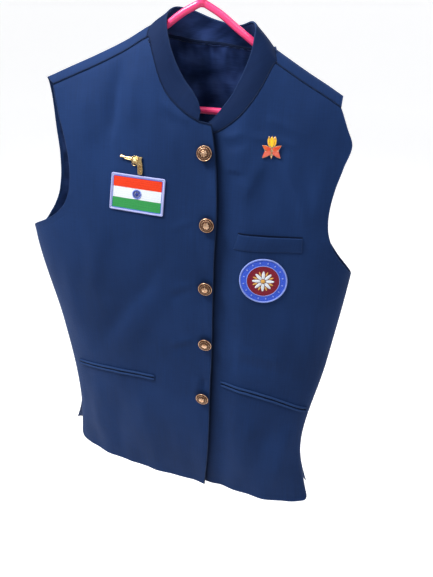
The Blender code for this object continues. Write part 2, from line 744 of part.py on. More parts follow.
def make_round_patch():
    """The round patch, a disc that follows the under front."""
    count = 9
    grid = np.zeros((count, count, 3))
    for i, v in enumerate(np.linspace(1, -1, count)):
        for j, u in enumerate(np.linspace(-1, 1, count)):
            x = ROUND_PATCH_CENTRE[0] + ROUND_PATCH_RADIUS * u * math.sqrt(1 - v * v / 2)
            z = ROUND_PATCH_CENTRE[1] + ROUND_PATCH_RADIUS * v * math.sqrt(1 - u * u / 2)
            grid[i, j] = front_point(x, z, LAYER_GAP + PATCH_THICKNESS)
    return make_sheet("round_patch", grid, -grid_normals(grid), PATCH_THICKNESS, "patch_thread")


def make_jets() -> list:
    """Two narrow lips for each lower pocket, with a slit between them."""
    jets = []
    for side, (start, end) in (("left", LEFT_POCKET), ("right", RIGHT_POCKET)):
        for place, shift in (("upper", JET_HEIGHT + JET_SLIT / 2), ("lower", -JET_SLIT / 2)):
            corners = (
                (start[0], start[1] + shift),
                (end[0], end[1] + shift),
                (end[0], end[1] + shift - JET_HEIGHT),
                (start[0], start[1] + shift - JET_HEIGHT),
            )
            jets.append(make_trim(f"jet_{side}_{place}", corners, 15, 2, JET_THICKNESS, "navy_trim"))
    return jets


def placed_on_front(piece: bpy.types.Object, place, lift: float, turn: float, droop: float):
    """Set a piece on the front with its +Z outwards and its +Y up the cloth."""
    x, z = place
    normal = Vector(surface_normal(x, z, FRONT_FACE))
    side = Vector((0, 0, 1)).cross(normal).normalized()
    frame = Matrix((side, normal.cross(side), normal)).transposed().to_4x4()
    spin = Matrix.Rotation(math.radians(turn), 4, "Z") @ Matrix.Rotation(math.radians(droop), 4, "X")
    piece.matrix_world = Matrix.Translation(Vector(front_point(x, z, lift)) * CM) @ frame @ spin
    return piece


def make_button(number: int):
    """A domed metal button with a raised rim, turned about the axis of its shank."""
    profile = (
        (0.0, SHANK_LENGTH + BUTTON_RIM + BUTTON_DOME),
        (0.35 * BUTTON_RADIUS, SHANK_LENGTH + BUTTON_RIM + 0.90 * BUTTON_DOME),
        (0.66 * BUTTON_RADIUS, SHANK_LENGTH + BUTTON_RIM + 0.58 * BUTTON_DOME),
        (0.84 * BUTTON_RADIUS, SHANK_LENGTH + BUTTON_RIM + 0.22 * BUTTON_DOME),
        (0.92 * BUTTON_RADIUS, SHANK_LENGTH + BUTTON_RIM + 0.30 * BUTTON_DOME),
        (BUTTON_RADIUS, SHANK_LENGTH + BUTTON_RIM),
        (0.90 * BUTTON_RADIUS, SHANK_LENGTH),
        (SHANK_RADIUS, SHANK_LENGTH - 0.04),
        (SHANK_RADIUS, 0.0),
        (0.0, 0.0),
    )
    mesh = bpy.data.meshes.new(f"button_{number}")
    points = [(radius * CM, 0.0, height * CM) for radius, height in profile]
    mesh.from_pydata(points, [(i, i + 1) for i in range(len(points) - 1)], [])
    mesh.materials.append(make_material("button_metal"))
    button = bpy.data.objects.new(f"button_{number}", mesh)
    turned = button.modifiers.new("turned", "SCREW")
    turned.steps = BUTTON_STEPS
    turned.render_steps = BUTTON_STEPS
    turned.use_merge_vertices = True
    turned.merge_threshold = 0.00001
    turned.use_smooth_shade = True
    place = BUTTON_PLACES[number - 1]
    return placed_on_front(button, place, LAYER_GAP + 0.05, 0.0, BUTTON_DROOPS[number - 1])


def make_pin(name: str, outline, place, lift: float, turn: float, material: str):
    """A small flat metal pin, cut to an outline and set on the front."""
    curve = bpy.data.curves.new(name, "CURVE")
    curve.dimensions = "2D"
    curve.fill_mode = "BOTH"
    curve.extrude = PIN_THICKNESS / 2 * CM
    spline = curve.splines.new("POLY")
    spline.points.add(len(outline) - 1)
    for point, (x, y) in zip(spline.points, outline):
        point.co = (x * CM, y * CM, 0.0, 1.0)
    spline.use_cyclic_u = True
    curve.materials.append(make_material(material))
    pin = bpy.data.objects.new(name, curve)
    weld = pin.modifiers.new("weld", "WELD")
    weld.merge_threshold = 0.00001
    return placed_on_front(pin, place, lift, turn, 0.0)


def revolver_outline() -> list:
    """Side view of a small revolver, muzzle to the left, about 3.7 cm long."""
    top = [(-1.90, 0.70), (0.15, 0.80), (0.20, 1.00), (1.10, 1.02), (1.20, 1.10), (1.45, 1.02)]
    grip = [(1.38, 0.70), (1.58, 0.10), (1.80, -1.05), (1.68, -1.42), (1.04, -1.42), (0.88, -0.28)]
    guard = [(0.70, -0.14), (0.46, -0.34), (0.14, -0.32), (-0.02, 0.02), (-0.14, 0.22)]
    return top + grip + guard + [(-1.90, 0.24)]


def flower_outline() -> list:
    """A tulip head over two spreading leaves, about 3.2 cm high."""
    right = [(0.0, 1.68), (0.24, 1.40), (0.46, 1.64), (0.64, 1.05), (0.56, 0.45), (0.22, 0.10)]
    leaf = [(0.74, 0.40), (1.38, 0.42), (0.84, -0.30), (1.30, -1.32), (0.74, -1.20), (0.20, -0.80)]
    half = right + leaf + [(0.0, -1.40)]
    return half + [(-x, y) for x, y in half[-2:0:-1]]


def hanger_side(sign: int) -> list:
    """One arm of the hanger and the bend at its end, from near the apex down to the bar."""
    arm = Curve([p.reach for p in ARM_POINTS], [p.drop for p in ARM_POINTS])
    points = []
    for reach in np.linspace(0.35, ARM_POINTS[-1].reach, 15):
        points.append((sign * reach, APEX_Z - float(arm(reach)[0]) - HANGER_TILT * sign * reach))
    bar_end_z = BAR_Z - HANGER_TILT * sign * END_REACH
    centre = (END_REACH - END_RADIUS, bar_end_z + END_RADIUS)
    for angle in np.radians(np.linspace(50, -90, 8)):
        x = centre[0] + END_RADIUS * math.cos(angle)
        points.append((sign * x, centre[1] + END_RADIUS * math.sin(angle)))
    return points


def hook_path() -> list:
    """Centre line of the hook: up from the apex, out and over the rail, with its tube radius."""
    centre_z = HOOK_TUBE - HOOK_RADIUS
    path = []
    foot = np.array((0.0, -6.6))
    join_angle = math.radians(-58)
    join = np.array((HOOK_RADIUS * math.cos(join_angle), centre_z + HOOK_RADIUS * math.sin(join_angle)))
    for z in np.linspace(APEX_Z, foot[1], 5)[:-1]:
        share_up = (z - APEX_Z) / (foot[1] - APEX_Z)
        path.append((0.0, z, STEM_RADIUS + (HOOK_TUBE - STEM_RADIUS) * share_up))
    for t in np.linspace(0, 1, 6)[:-1]:
        control = np.array((0.0, -5.3))
        point = foot * (1 - t) ** 2 + control * 2 * t * (1 - t) + join * t * t
        path.append((point[0], point[1], HOOK_TUBE))
    for angle in np.linspace(join_angle, join_angle + math.radians(HOOK_SWEEP), 22):
        x = HOOK_RADIUS * math.cos(angle)
        path.append((x, centre_z + HOOK_RADIUS * math.sin(angle), HOOK_TUBE))
    return path


def tube_mesh(name: str, points, radii, closed: bool) -> bpy.types.Object:
    """A tube along a line of points in the hanger's plane, as a mesh with welded caps."""
    curve = bpy.data.curves.new(name, "CURVE")
    curve.dimensions = "3D"
    curve.bevel_depth = CM
    curve.bevel_resolution = 3
    curve.use_fill_caps = True
    curve.render_resolution_u = 0
    spline = curve.splines.new("POLY")
    spline.points.add(len(points) - 1)
    for point, (x, z), radius in zip(spline.points, points, radii):
        point.co = (x * CM, 0.0, z * CM, 1.0)
        point.radius = radius
    spline.use_cyclic_u = closed
    guide = bpy.data.objects.new(name + "_line", curve)
    bpy.context.scene.collection.objects.link(guide)
    scene_state = bpy.context.evaluated_depsgraph_get()
    mesh = bpy.data.meshes.new_from_object(guide.evaluated_get(scene_state))
    bpy.data.objects.remove(guide, do_unlink=True)
    model = bmesh.new()
    model.from_mesh(mesh)
    bmesh.ops.remove_doubles(model, verts=model.verts, dist=0.00001)
    bmesh.ops.recalc_face_normals(model, faces=model.faces)
    model.to_mesh(mesh)
    model.free()
    mesh.name = name
    mesh.shade_smooth()
    mesh.materials.clear()
    mesh.materials.append(make_material("pink_plastic"))
    return bpy.data.objects.new(name, mesh)


def make_hanger(cutters: bpy.types.Collection):
    """The tubular hanger: two arms, bar and hook, moulded as one piece."""
    right = hanger_side(1)
    left = hanger_side(-1)
    bar = [(x, BAR_Z - HANGER_TILT * x) for x in np.linspace(END_REACH - 4, 4 - END_REACH, 7)]
    loop = right + bar + left[::-1]
    hanger = tube_mesh("hanger", loop, [TUBE_RADIUS] * len(loop), True)
    path = hook_path()
    hook = tube_mesh("hook", [(x, z) for x, z, _ in path], [radius for _, _, radius in path], False)
    cutters.objects.link(hook)
    hook.hide_render = True
    hook.display_type = "WIRE"
    union = hanger.modifiers.new("hook", "BOOLEAN")
    union.operation = "UNION"
    union.object = hook
    return hanger


def build():
    """Build every piece of the coat and its hanger."""
    coat = clear_scene()
    cutters = bpy.data.collections.new("guides")
    bpy.context.scene.collection.children.link(cutters)
    pieces = [make_over_front(), make_under_front(), make_back(), make_lining(), make_collar()]
    pieces.append(make_trim("breast_welt", WELT_CORNERS, 11, 4, WELT_THICKNESS, "navy_trim"))
    pieces.extend(make_jets())
    pieces.append(make_trim("flag_patch", FLAG_CORNERS, 9, 6, PATCH_THICKNESS, "flag_thread"))
    pieces.append(make_round_patch())
    pieces.extend(make_button(number) for number in range(1, len(BUTTON_PLACES) + 1))
    pieces.append(make_pin("revolver_pin", revolver_outline(), REVOLVER_PLACE, REVOLVER_LIFT, REVOLVER_TURN, "pin_brass"))
    pieces.append(make_pin("flower_pin", flower_outline(), FLOWER_PLACE, FLOWER_LIFT, 0.0, "pin_enamel"))
    pieces.append(make_hanger(cutters))
    for piece in pieces:
        coat.objects.link(piece)


build()
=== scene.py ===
"""Looks of a sleeveless band-collar half coat on its pink plastic hanger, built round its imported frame.

Tables hold centimetres in the object's own frame: +X to the wearer's left, +Y to the coat's back and +Z up.
The origin is the place inside the hook where the rail carries the hanger.
"""

import logging
import math
from dataclasses import dataclass
from enum import Enum
from functools import cached_property
from typing import Any, Callable, Sequence

import bmesh
import bpy
import numpy as np
from mathutils import Matrix, Vector


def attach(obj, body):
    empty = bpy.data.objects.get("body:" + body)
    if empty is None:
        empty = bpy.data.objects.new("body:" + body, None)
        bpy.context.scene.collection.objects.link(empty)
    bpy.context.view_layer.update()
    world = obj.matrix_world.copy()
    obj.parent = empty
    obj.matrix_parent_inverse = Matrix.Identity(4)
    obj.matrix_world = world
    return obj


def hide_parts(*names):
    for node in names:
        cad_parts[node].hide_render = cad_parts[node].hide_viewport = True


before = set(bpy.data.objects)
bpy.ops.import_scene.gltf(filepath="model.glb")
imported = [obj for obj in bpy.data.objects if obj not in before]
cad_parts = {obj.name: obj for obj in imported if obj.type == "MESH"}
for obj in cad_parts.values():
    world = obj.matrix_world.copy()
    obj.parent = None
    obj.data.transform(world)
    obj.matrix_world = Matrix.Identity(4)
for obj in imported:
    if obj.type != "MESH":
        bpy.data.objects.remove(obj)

log = logging.getLogger("half_coat")

CM = 0.01
TURN = 2 * math.pi
BODY = "root"
FAR_FROM_EDGE = 9.0
SEAM_OVERLAP = 0.85
OUTWARD_Z = (0.0, 0.0, 1.0)
Points = np.ndarray
Piece = bpy.types.Object
Material = bpy.types.Material
Colour = tuple[float, float, float]
Section = Callable[[Points, Points], tuple[Points, Points]]


class Face(Enum):
    """The two faces of the hanging coat, with the sign of their depth."""

    FRONT = -1
    BACK = 1


class Lip(Enum):
    """The two lips of a pocket, with the side of the slit that they lie on."""

    UPPER = 1
    LOWER = -1


# Shader sockets and nodes


class Sock:
    """A shader socket that takes part in sums, so that maths on it reads as maths."""

    def __init__(self, shader: "Shader", socket: bpy.types.NodeSocket):
        """Wrap an output socket of a shader."""
        self.shader = shader
        self.socket = socket

    def maths(self, operation: str, *others: Any) -> "Sock":
        """This socket and others through one Math node."""
        return self.shader.node("ShaderNodeMath", {"operation": operation}, dict(enumerate((self, *others))))

    def __add__(self, other: Any) -> "Sock":
        """This plus other."""
        return self.maths("ADD", other)

    __radd__ = __add__

    def __mul__(self, other: Any) -> "Sock":
        """This times other."""
        return self.maths("MULTIPLY", other)

    __rmul__ = __mul__

    def __sub__(self, other: Any) -> "Sock":
        """This less other."""
        return self.maths("SUBTRACT", other)

    def __rsub__(self, other: float) -> "Sock":
        """Other less this."""
        return self.maths("MULTIPLY", -1.0) + other

    def wave(self) -> "Sock":
        """Sine of this."""
        return self.maths("SINE")

    def most(self, other: Any) -> "Sock":
        """The larger of this and other."""
        return self.maths("MAXIMUM", other)

    def step(self, low: float, high: float) -> "Sock":
        """Rise smoothly from 0 at low to 1 at high.

        Args:
            low: Where the rise starts.
            high: Where it ends; it may be below low for a fall.

        Returns:
            The share of the rise, from 0 to 1.
        """
        if low > high:
            return 1 - self.step(high, low)
        inputs = {"Value": self, "From Min": low, "From Max": high, "To Min": 0.0, "To Max": 1.0}
        return self.shader.node("ShaderNodeMapRange", {"interpolation_type": "SMOOTHSTEP"}, inputs)


class Shader:
    """A material built node by node round one Principled surface."""

    def __init__(self, name: str):
        """Start an empty material with a name.

        Args:
            name: Its name.
        """
        self.material = bpy.data.materials.new(name)
        self.material.use_nodes = True
        self.tree = self.material.node_tree
        self.tree.nodes.clear()

    def node(
        self, kind: str, settings: dict | None = None, inputs: dict | None = None, output: Any = 0
    ) -> Sock:
        """Add a node of any type.

        Args:
            kind: The node's type.
            settings: Its settings, which are set first.
            inputs: Numbers, colours or sockets by the input's name, identifier or number.
            output: Name, identifier or number of the output wanted.

        Returns:
            The wanted output.
        """
        made = self.tree.nodes.new(kind)
        for key, value in (settings or {}).items():
            setattr(made, key, value)
        for key, value in (inputs or {}).items():
            socket = self.find(made.inputs, key)
            if isinstance(value, Sock):
                self.tree.links.new(value.socket, socket)
            else:
                socket.default_value = (*value, 1.0) if socket.type == "RGBA" and len(value) == 3 else value
        return Sock(self, self.find(made.outputs, output) if len(made.outputs) else None)

    @staticmethod
    def find(sockets: Any, key: Any) -> bpy.types.NodeSocket:
        """Find a socket by number, identifier or name."""
        named = None if isinstance(key, int) else next((s for s in sockets if s.identifier == key), None)
        return named or sockets[key]

    def parts(self, vector: Sock) -> tuple[Sock, Sock, Sock]:
        """Split a vector into its three numbers."""
        outputs = self.node("ShaderNodeSeparateXYZ", None, {0: vector}).socket.node.outputs
        return Sock(self, outputs[0]), Sock(self, outputs[1]), Sock(self, outputs[2])

    def vector(self, x: Any, y: Any, z: Any) -> Sock:
        """Join three numbers into a vector."""
        return self.node("ShaderNodeCombineXYZ", None, {0: x, 1: y, 2: z})

    def attribute(self, name: str) -> tuple[Sock, Sock, Sock]:
        """The three numbers of a mesh attribute."""
        return self.parts(self.node("ShaderNodeAttribute", {"attribute_name": name}, None, "Vector"))

    def place(self) -> Sock:
        """Place in the object, in metres."""
        return self.node("ShaderNodeTexCoord", None, None, "Object")

    def noise(self, vector: Sock, scale: float, detail: float = 2.0, roughness: float = 0.5) -> Sock:
        """Soft random values from 0 to 1 over a vector."""
        inputs = {"Vector": vector, "Scale": scale, "Detail": detail, "Roughness": roughness}
        return self.node("ShaderNodeTexNoise", None, inputs)

    def mix(self, share: Any, first: Any, second: Any) -> Sock:
        """Blend two colours, by the share of the second."""
        inputs = {"Factor_Float": share, "A_Color": first, "B_Color": second}
        return self.node("ShaderNodeMix", {"data_type": "RGBA"}, inputs, "Result_Color")

    def bump(self, height: Sock, strength: float, distance: float) -> Sock:
        """Turn a height, in units of a distance in metres, into a surface normal."""
        inputs = {"Height": height, "Strength": strength, "Distance": distance}
        return self.node("ShaderNodeBump", None, inputs)

    def surface(self, **inputs: Any) -> Material:
        """Finish the material with a Principled surface.

        Args:
            inputs: The surface's inputs, with underscores for spaces.

        Returns:
            The material.
        """
        named = {key.replace("_", " "): value for key, value in inputs.items()}
        shine = self.node("ShaderNodeBsdfPrincipled", None, named, "BSDF")
        self.node("ShaderNodeOutputMaterial", None, {"Surface": shine})
        return self.material


# Finishes


@dataclass(frozen=True)
class SuitCloth:
    """Navy suiting: a fine plain weave with faint upright slubs and a soft nap, lighter at folded edges from
    rubbing and a painted highlight, and darkened by painted shade in seams and under laps.
    """

    name: str = "suit_cloth"
    deep: Colour = (0.0071, 0.0214, 0.0745)
    pale: Colour = (0.0120, 0.0362, 0.1245)
    # Share and colour of the lighter folded edges: partly rubbing, partly a painted highlight.
    edge_wear_and_highlight: float = 0.08
    rubbed_and_highlit_edge: Colour = (0.040, 0.086, 0.215)
    thread: float = 0.055

    def build(self) -> Material:
        """Make the material from the "grain" attribute, in centimetres across and down the cloth, and from
        the painted shade in the "relief" attribute.

        Returns:
            The material.
        """
        shader = Shader(self.name)
        across, down, edge = shader.attribute("grain")
        turn = TURN / self.thread
        warp = (across * turn + (down * (turn / 2)).wave() * 0.6).wave()
        weave = warp.most((down * turn).wave() * 0.8)
        slub = shader.noise(shader.vector(across * 5.5, down * 0.16, 0.0), 1.0, 3.0, 0.6)
        rows = shader.noise(shader.vector(across * 0.5, down * 6.0, 3.0), 1.0)
        cloud = shader.noise(shader.vector(across, down, 7.0), 0.09, 3.0, 0.55)
        tone = slub * 0.40 + rows * 0.22 + cloud * 0.58 + weave * 0.05
        colour = shader.mix(tone.step(0.30, 0.98), self.deep, self.pale)
        # Painted shade: the "relief" attribute darkens the cloth in seams, under laps, round sewn-on things
        # and at the collar's foot.
        painted_shade, _, _ = shader.attribute("relief")
        colour = shader.mix(painted_shade * 0.85, colour, tuple(part * 0.2 for part in self.deep))
        fuzz = shader.noise(shader.vector(across, down, 1.0), 34.0, 2.0, 0.6)
        # Folded edges are lightened: partly rubbing, partly a painted highlight.
        return shader.surface(
            Base_Color=shader.mix(edge.step(0.30, 0.02) * self.edge_wear_and_highlight, colour, self.rubbed_and_highlit_edge),
            Roughness=slub * 0.16 + 0.62,
            Specular_IOR_Level=0.07,
            Sheen_Weight=0.08,
            Sheen_Roughness=0.42,
            Sheen_Tint=(0.36, 0.52, 1.0),
            Normal=shader.bump(weave * 0.5 + fuzz * 0.7 + slub * 0.3, 0.30, 0.00016),
        )


@dataclass(frozen=True)
class Satin:
    """Navy satin lining: smooth, shiny across its weft and finely crinkled."""

    name: str = "satin"
    deep: Colour = (0.0035, 0.0100, 0.0420)
    pale: Colour = (0.0280, 0.0560, 0.1850)
    rib: float = 0.05

    def build(self) -> Material:
        """Make the material from the "grain" attribute.

        Returns:
            The material.
        """
        shader = Shader(self.name)
        across, down, _ = shader.attribute("grain")
        crinkle = shader.noise(shader.vector(across, down, 0.0), 0.34, 2.0, 0.45)
        ribs = (across * (TURN / self.rib)).wave()
        weft = shader.noise(shader.vector(across * 0.4, down * 9.0, 0.0), 1.0)
        return shader.surface(
            Base_Color=shader.mix((crinkle * 0.8 + weft * 0.2).step(0.30, 0.78), self.deep, self.pale),
            Roughness=crinkle * 0.18 + 0.26,
            Specular_IOR_Level=0.22,
            Specular_Tint=(0.40, 0.58, 1.0),
            Sheen_Weight=0.15,
            Sheen_Roughness=0.3,
            Sheen_Tint=(0.4, 0.55, 1.0),
            Normal=shader.bump(crinkle * 7.0 + weft * 0.4 + ribs * 0.1, 0.55, 0.00035),
        )


@dataclass(frozen=True)
class Moulded:
    """Hot-pink moulded plastic with faint flow marks and handling scuffs."""

    name: str = "pink_moulding"
    colour: Colour = (1.0, 0.052, 0.21)
    flow_mark: Colour = (1.0, 0.115, 0.30)
    scuffed: Colour = (1.0, 0.30, 0.46)

    def build(self) -> Material:
        """Make the material.

        Returns:
            The material.
        """
        shader = Shader(self.name)
        place = shader.place()
        flow = shader.noise(place, 22.0, 3.0)
        scuff = shader.noise(place, 260.0, 4.0, 0.7).step(0.60, 0.74)
        colour = shader.mix(flow * 0.30, self.colour, self.flow_mark)
        return shader.surface(
            Base_Color=shader.mix(scuff * 0.22, colour, self.scuffed),
            Roughness=scuff * 0.2 + flow * 0.12 + 0.26,
            Subsurface_Weight=0.22,
            Subsurface_Radius=(1.0, 0.25, 0.35),
            Subsurface_Scale=0.004,
            Specular_IOR_Level=0.5,
            Coat_Weight=0.15,
            Coat_Roughness=0.2,
            Normal=shader.bump(shader.noise(place, 900.0) + flow * 3.0, 0.12, 0.0004),
        )


@dataclass(frozen=True)
class WornMetal:
    """Stamped metal whose hollows have darkened and whose high places are rubbed bright."""

    name: str
    bright: Colour
    dull: Colour
    hollow: Colour
    gloss: float

    def build(self) -> Material:
        """Make the material from the "relief" attribute, 0 in hollows and 1 on high places.

        Returns:
            The material.
        """
        shader = Shader(self.name)
        relief, _, _ = shader.attribute("relief")
        place = shader.place()
        spots = shader.noise(place, 420.0, 4.0, 0.65)
        grain = shader.noise(place, 2400.0, 2.0, 0.6)
        raised = (relief + (spots - 0.5) * 0.35).step(0.20, 0.72)
        metal = shader.mix(spots.step(0.36, 0.66), self.dull, self.bright)
        return shader.surface(
            Base_Color=shader.mix(raised, self.hollow, metal),
            Metallic=raised * 0.25 + 0.75,
            Roughness=(spots - 0.5) * 0.3 + (1 - raised) * 0.3 + self.gloss,
            Normal=shader.bump(grain + spots, 0.16, 0.00012),
        )


@dataclass(frozen=True)
class Enamel:
    """Glossy enamel poured into a cell, slightly mottled."""

    name: str
    colour: Colour
    shade: Colour

    def build(self) -> Material:
        """Make the material.

        Returns:
            The material.
        """
        shader = Shader(self.name)
        place = shader.place()
        cloud = shader.noise(place, 260.0, 3.0)
        return shader.surface(
            Base_Color=shader.mix(cloud.step(0.35, 0.7), self.colour, self.shade),
            Roughness=cloud * 0.12 + 0.16,
            Coat_Weight=0.6,
            Coat_Roughness=0.08,
            Normal=shader.bump(cloud + shader.noise(place, 1900.0) * 0.3, 0.18, 0.0002),
        )


@dataclass(frozen=True)
class Thread:
    """Embroidery thread in one colour, laid in shiny rows."""

    name: str
    colour: Colour
    pitch: float = 0.045
    contrast: float = 0.34
    slant: float = 0.12
    stitch: float = 0.33

    def build(self) -> Material:
        """Make the material from the "grain" attribute.

        Returns:
            The material.
        """
        shader = Shader(self.name)
        across, down, _ = shader.attribute("grain")
        wander = shader.noise(shader.vector(across, down, 0.0), 2.2)
        lay = (across + down * self.slant + wander * 0.05) * (TURN / self.pitch)
        strand = lay.wave() * 0.5 + 0.5
        ends = ((down + lay.wave() * 0.01 + wander * 0.2) * (TURN / self.stitch)).wave().step(0.86, 1.0)
        mottle = shader.noise(shader.vector(across, down, 2.0), 6.0, 3.0, 0.6)
        dark = tuple(part * (1 - self.contrast) for part in self.colour)
        light = tuple(min(1.0, part * 1.14 + 0.02) for part in self.colour)
        tone = strand * 0.55 + mottle * 0.6 - ends * 0.3
        return shader.surface(
            Base_Color=shader.mix(tone.step(0.15, 0.9), dark, light),
            Roughness=mottle * 0.2 + 0.46,
            Specular_IOR_Level=0.18,
            Sheen_Weight=0.08,
            Sheen_Roughness=0.35,
            Normal=shader.bump(strand - ends * 0.7 + mottle * 0.4, 0.5, 0.00022),
        )


@dataclass(frozen=True)
class PalePaint:
    """Pale, matt studio paint for the floor, which glows white behind the coat."""

    name: str = "studio_floor"
    tone: float = 0.86
    dim: float = 0.12

    def build(self) -> Material:
        """Make the material.

        Returns:
            The material.
        """
        shader = Shader(self.name)
        place = shader.place()
        _, behind, _ = shader.parts(place)
        return shader.surface(
            Base_Color=shader.mix(shader.noise(place, 0.6), (self.tone,) * 3, (self.tone * 0.985,) * 3),
            Roughness=0.9,
            Specular_IOR_Level=0.1,
            Emission_Color=shader.mix(behind.step(-1.7, -0.1), (self.dim,) * 3, (1.0, 1.0, 1.0)),
            Emission_Strength=0.56,
        )


class Wardrobe:
    """Every finish of the coat and hanger, made once."""

    def __init__(self) -> None:
        """Make the materials."""
        lip, tape = "highlit_pocket_lip_cloth", "shade_dark_tape_cloth"
        self.cloth = SuitCloth().build()
        # The collar's cloth is a darker copy of the body's, a painted shade, with a larger share of rubbing
        # and painted highlight on its top edge.
        shaded_collar_blues = ((0.0040, 0.0122, 0.0445), (0.0074, 0.0212, 0.0745))
        self.band = SuitCloth("shaded_collar_cloth", *shaded_collar_blues, 0.24).build()
        # A lighter copy of the cloth for both pocket lips: a painted highlight, as their rolled tops face up
        # to the light.
        self.lip = SuitCloth(lip, (0.0130, 0.0340, 0.1050), (0.0210, 0.0540, 0.1600)).build()
        self.satin = Satin().build()
        # A very dark copy of the cloth for the seam tapes and pocket slits: painted shade in the seams and
        # slit mouths.
        self.tape = SuitCloth(tape, (0.0022, 0.0060, 0.0230), (0.0040, 0.0110, 0.0380), 0.0).build()
        self.plastic = Moulded().build()
        copper, brass = (0.060, 0.020, 0.009), (0.17, 0.085, 0.03)
        self.copper = WornMetal("button_copper", (0.95, 0.68, 0.47), (0.58, 0.28, 0.14), copper, 0.30).build()
        self.brass = WornMetal("pin_brass", (0.92, 0.70, 0.36), (0.66, 0.44, 0.18), brass, 0.28).build()
        self.yellow = Enamel("yellow_enamel", (0.98, 0.60, 0.005), (0.98, 0.42, 0.004)).build()
        self.orange = Enamel("orange_enamel", (0.66, 0.042, 0.010), (0.78, 0.12, 0.012)).build()
        self.shell = Enamel("shell_enamel", (0.74, 0.15, 0.09), (0.66, 0.07, 0.03)).build()
        self.saffron = Thread("saffron_thread", (0.90, 0.042, 0.001)).build()
        self.white = Thread("white_thread", (0.80, 0.84, 0.93), contrast=0.2).build()
        self.green = Thread("green_thread", (0.032, 0.33, 0.078)).build()
        self.navy = Thread("navy_thread", (0.02, 0.045, 0.33)).build()
        self.sky = Thread("sky_thread", (0.27, 0.36, 0.84)).build()
        self.lavender = Thread("lavender_thread", (0.42, 0.45, 0.80), 0.06, 0.25).build()
        self.royal = Thread("royal_thread", (0.040, 0.110, 0.72)).build()
        self.maroon = Thread("maroon_thread", (0.24, 0.002, 0.022)).build()
        self.gold = Thread("gold_thread", (0.84, 0.44, 0.09)).build()


# Meshes


def running(points: Points, axis: int = 0) -> Points:
    """Length along lines of points, up to each of them.

    Args:
        points: Lines of points, the coordinates last.
        axis: The axis that the lines run along.

    Returns:
        The lengths, in the points' shape without the coordinates.
    """
    steps = np.linalg.norm(np.diff(points, axis=axis), axis=-1)
    start = np.zeros_like(np.take(steps, [0], axis))
    return np.concatenate((start, np.cumsum(steps, axis)), axis)


def level(*values: Any) -> list:
    """Values as arrays of numbers in one shape."""
    return np.broadcast_arrays(*(np.asarray(value, float) for value in values))


def eased(value: Any) -> Points:
    """Rise smoothly from 0 to 1 as the value does, held outside that."""
    held = np.clip(value, 0.0, 1.0)
    return held * held * (3 - 2 * held)


def bell(value: Any, middle: float, width: float) -> Points:
    """Hump of height 1 round a middle, mostly gone one width away."""
    return np.exp(-(((value - middle) / width) ** 2))


def unit(vectors: Points) -> Points:
    """Vectors brought to length 1."""
    return vectors / np.maximum(np.linalg.norm(vectors, axis=-1, keepdims=True), 1e-9)


def circle(count: int) -> Points:
    """Angles evenly round a circle."""
    return np.linspace(0, TURN, count, endpoint=False)


def oval(wide: Any, high: Any) -> Section:
    """Section of a plain wire, from its half width and half height."""
    return lambda along, angles: (np.cos(angles) * wide, np.sin(angles) * high)


def cell_faces(rows: int, columns: int, round_rows: bool = False, round_columns: bool = False) -> Points:
    """Four-cornered faces between the points of a grid.

    Args:
        rows: Number of rows of points.
        columns: Number of points in a row.
        round_rows: Whether the last row joins the first.
        round_columns: Whether each row's last point joins its first.

    Returns:
        One row of four point numbers for each face.
    """
    i = np.arange(rows if round_rows else rows - 1)[:, None]
    j = np.arange(columns if round_columns else columns - 1)[None]
    below, beside = (i + 1) % rows, (j + 1) % columns
    corners = (i * columns + j, below * columns + j, below * columns + beside, i * columns + beside)
    return np.stack(np.broadcast_arrays(*corners), -1).reshape(-1, 4)


def tube_faces(rows: int, around: int, closed: bool = False) -> list:
    """Faces of a tube, with a cap at both ends if it isn't closed."""
    caps = [] if closed else [range(around)[::-1], range((rows - 1) * around, rows * around)]
    return [*cell_faces(rows, around, closed, True), *caps]


def shown(name: str, data: Any) -> Piece:
    """Put a mesh, camera or light in the scene.

    Args:
        name: The object's name.
        data: What it shows.

    Returns:
        The object.
    """
    made = bpy.data.objects.new(name, data)
    bpy.context.scene.collection.objects.link(made)
    return made


def make_piece(
    name: str,
    points: Points,
    faces: list,
    materials: Sequence[Material],
    slots: Any = None,
    grain: Points | None = None,
    relief: Points | None = None,
    crisp: float | None = None,
) -> Piece:
    """Make a mesh object, facing outwards, and put it in the scene.

    Args:
        name: The piece's name.
        points: Its points, in centimetres.
        faces: Its faces, each a row of point numbers.
        materials: Its materials.
        slots: Number of each face's material, or none for the first.
        grain: Place on the cloth of each point, or none.
        relief: Height of each point's relief from 0 to 1; on cloth, its painted shade from 0 to 1; or none.
        crisp: Angle in degrees over which edges stay sharp, or none.

    Returns:
        The object.
    """
    mesh = bpy.data.meshes.new(name)
    mesh.from_pydata((points * CM).tolist(), [], [list(map(int, face)) for face in faces])
    mesh.calc_loop_triangles()
    corners = np.empty(len(mesh.loop_triangles) * 3, np.int32)
    mesh.loop_triangles.foreach_get("vertices", corners)
    a, b, c = np.moveaxis((points - points.mean(0))[corners.reshape(-1, 3)], 1, 0)
    if float(np.sum(a * np.cross(b, c))) < 0:
        mesh.flip_normals()
    for material in materials:
        mesh.materials.append(material)
    if slots is not None:
        mesh.polygons.foreach_set("material_index", np.asarray(slots, np.int32))
    for key, values in (("grain", grain), ("relief", relief)):
        if values is not None:
            layer = mesh.attributes.new(key, "FLOAT_VECTOR", "POINT")
            rows = np.asarray(values, np.float32).reshape(len(points), -1)
            layer.data.foreach_set("vector", np.broadcast_to(rows, (len(points), 3)).ravel())
    mesh.polygons.foreach_set("use_smooth", [True] * len(mesh.polygons))
    if crisp is not None:
        mesh.set_sharp_from_angle(angle=math.radians(crisp))
    mesh.update()
    return shown(name, mesh)


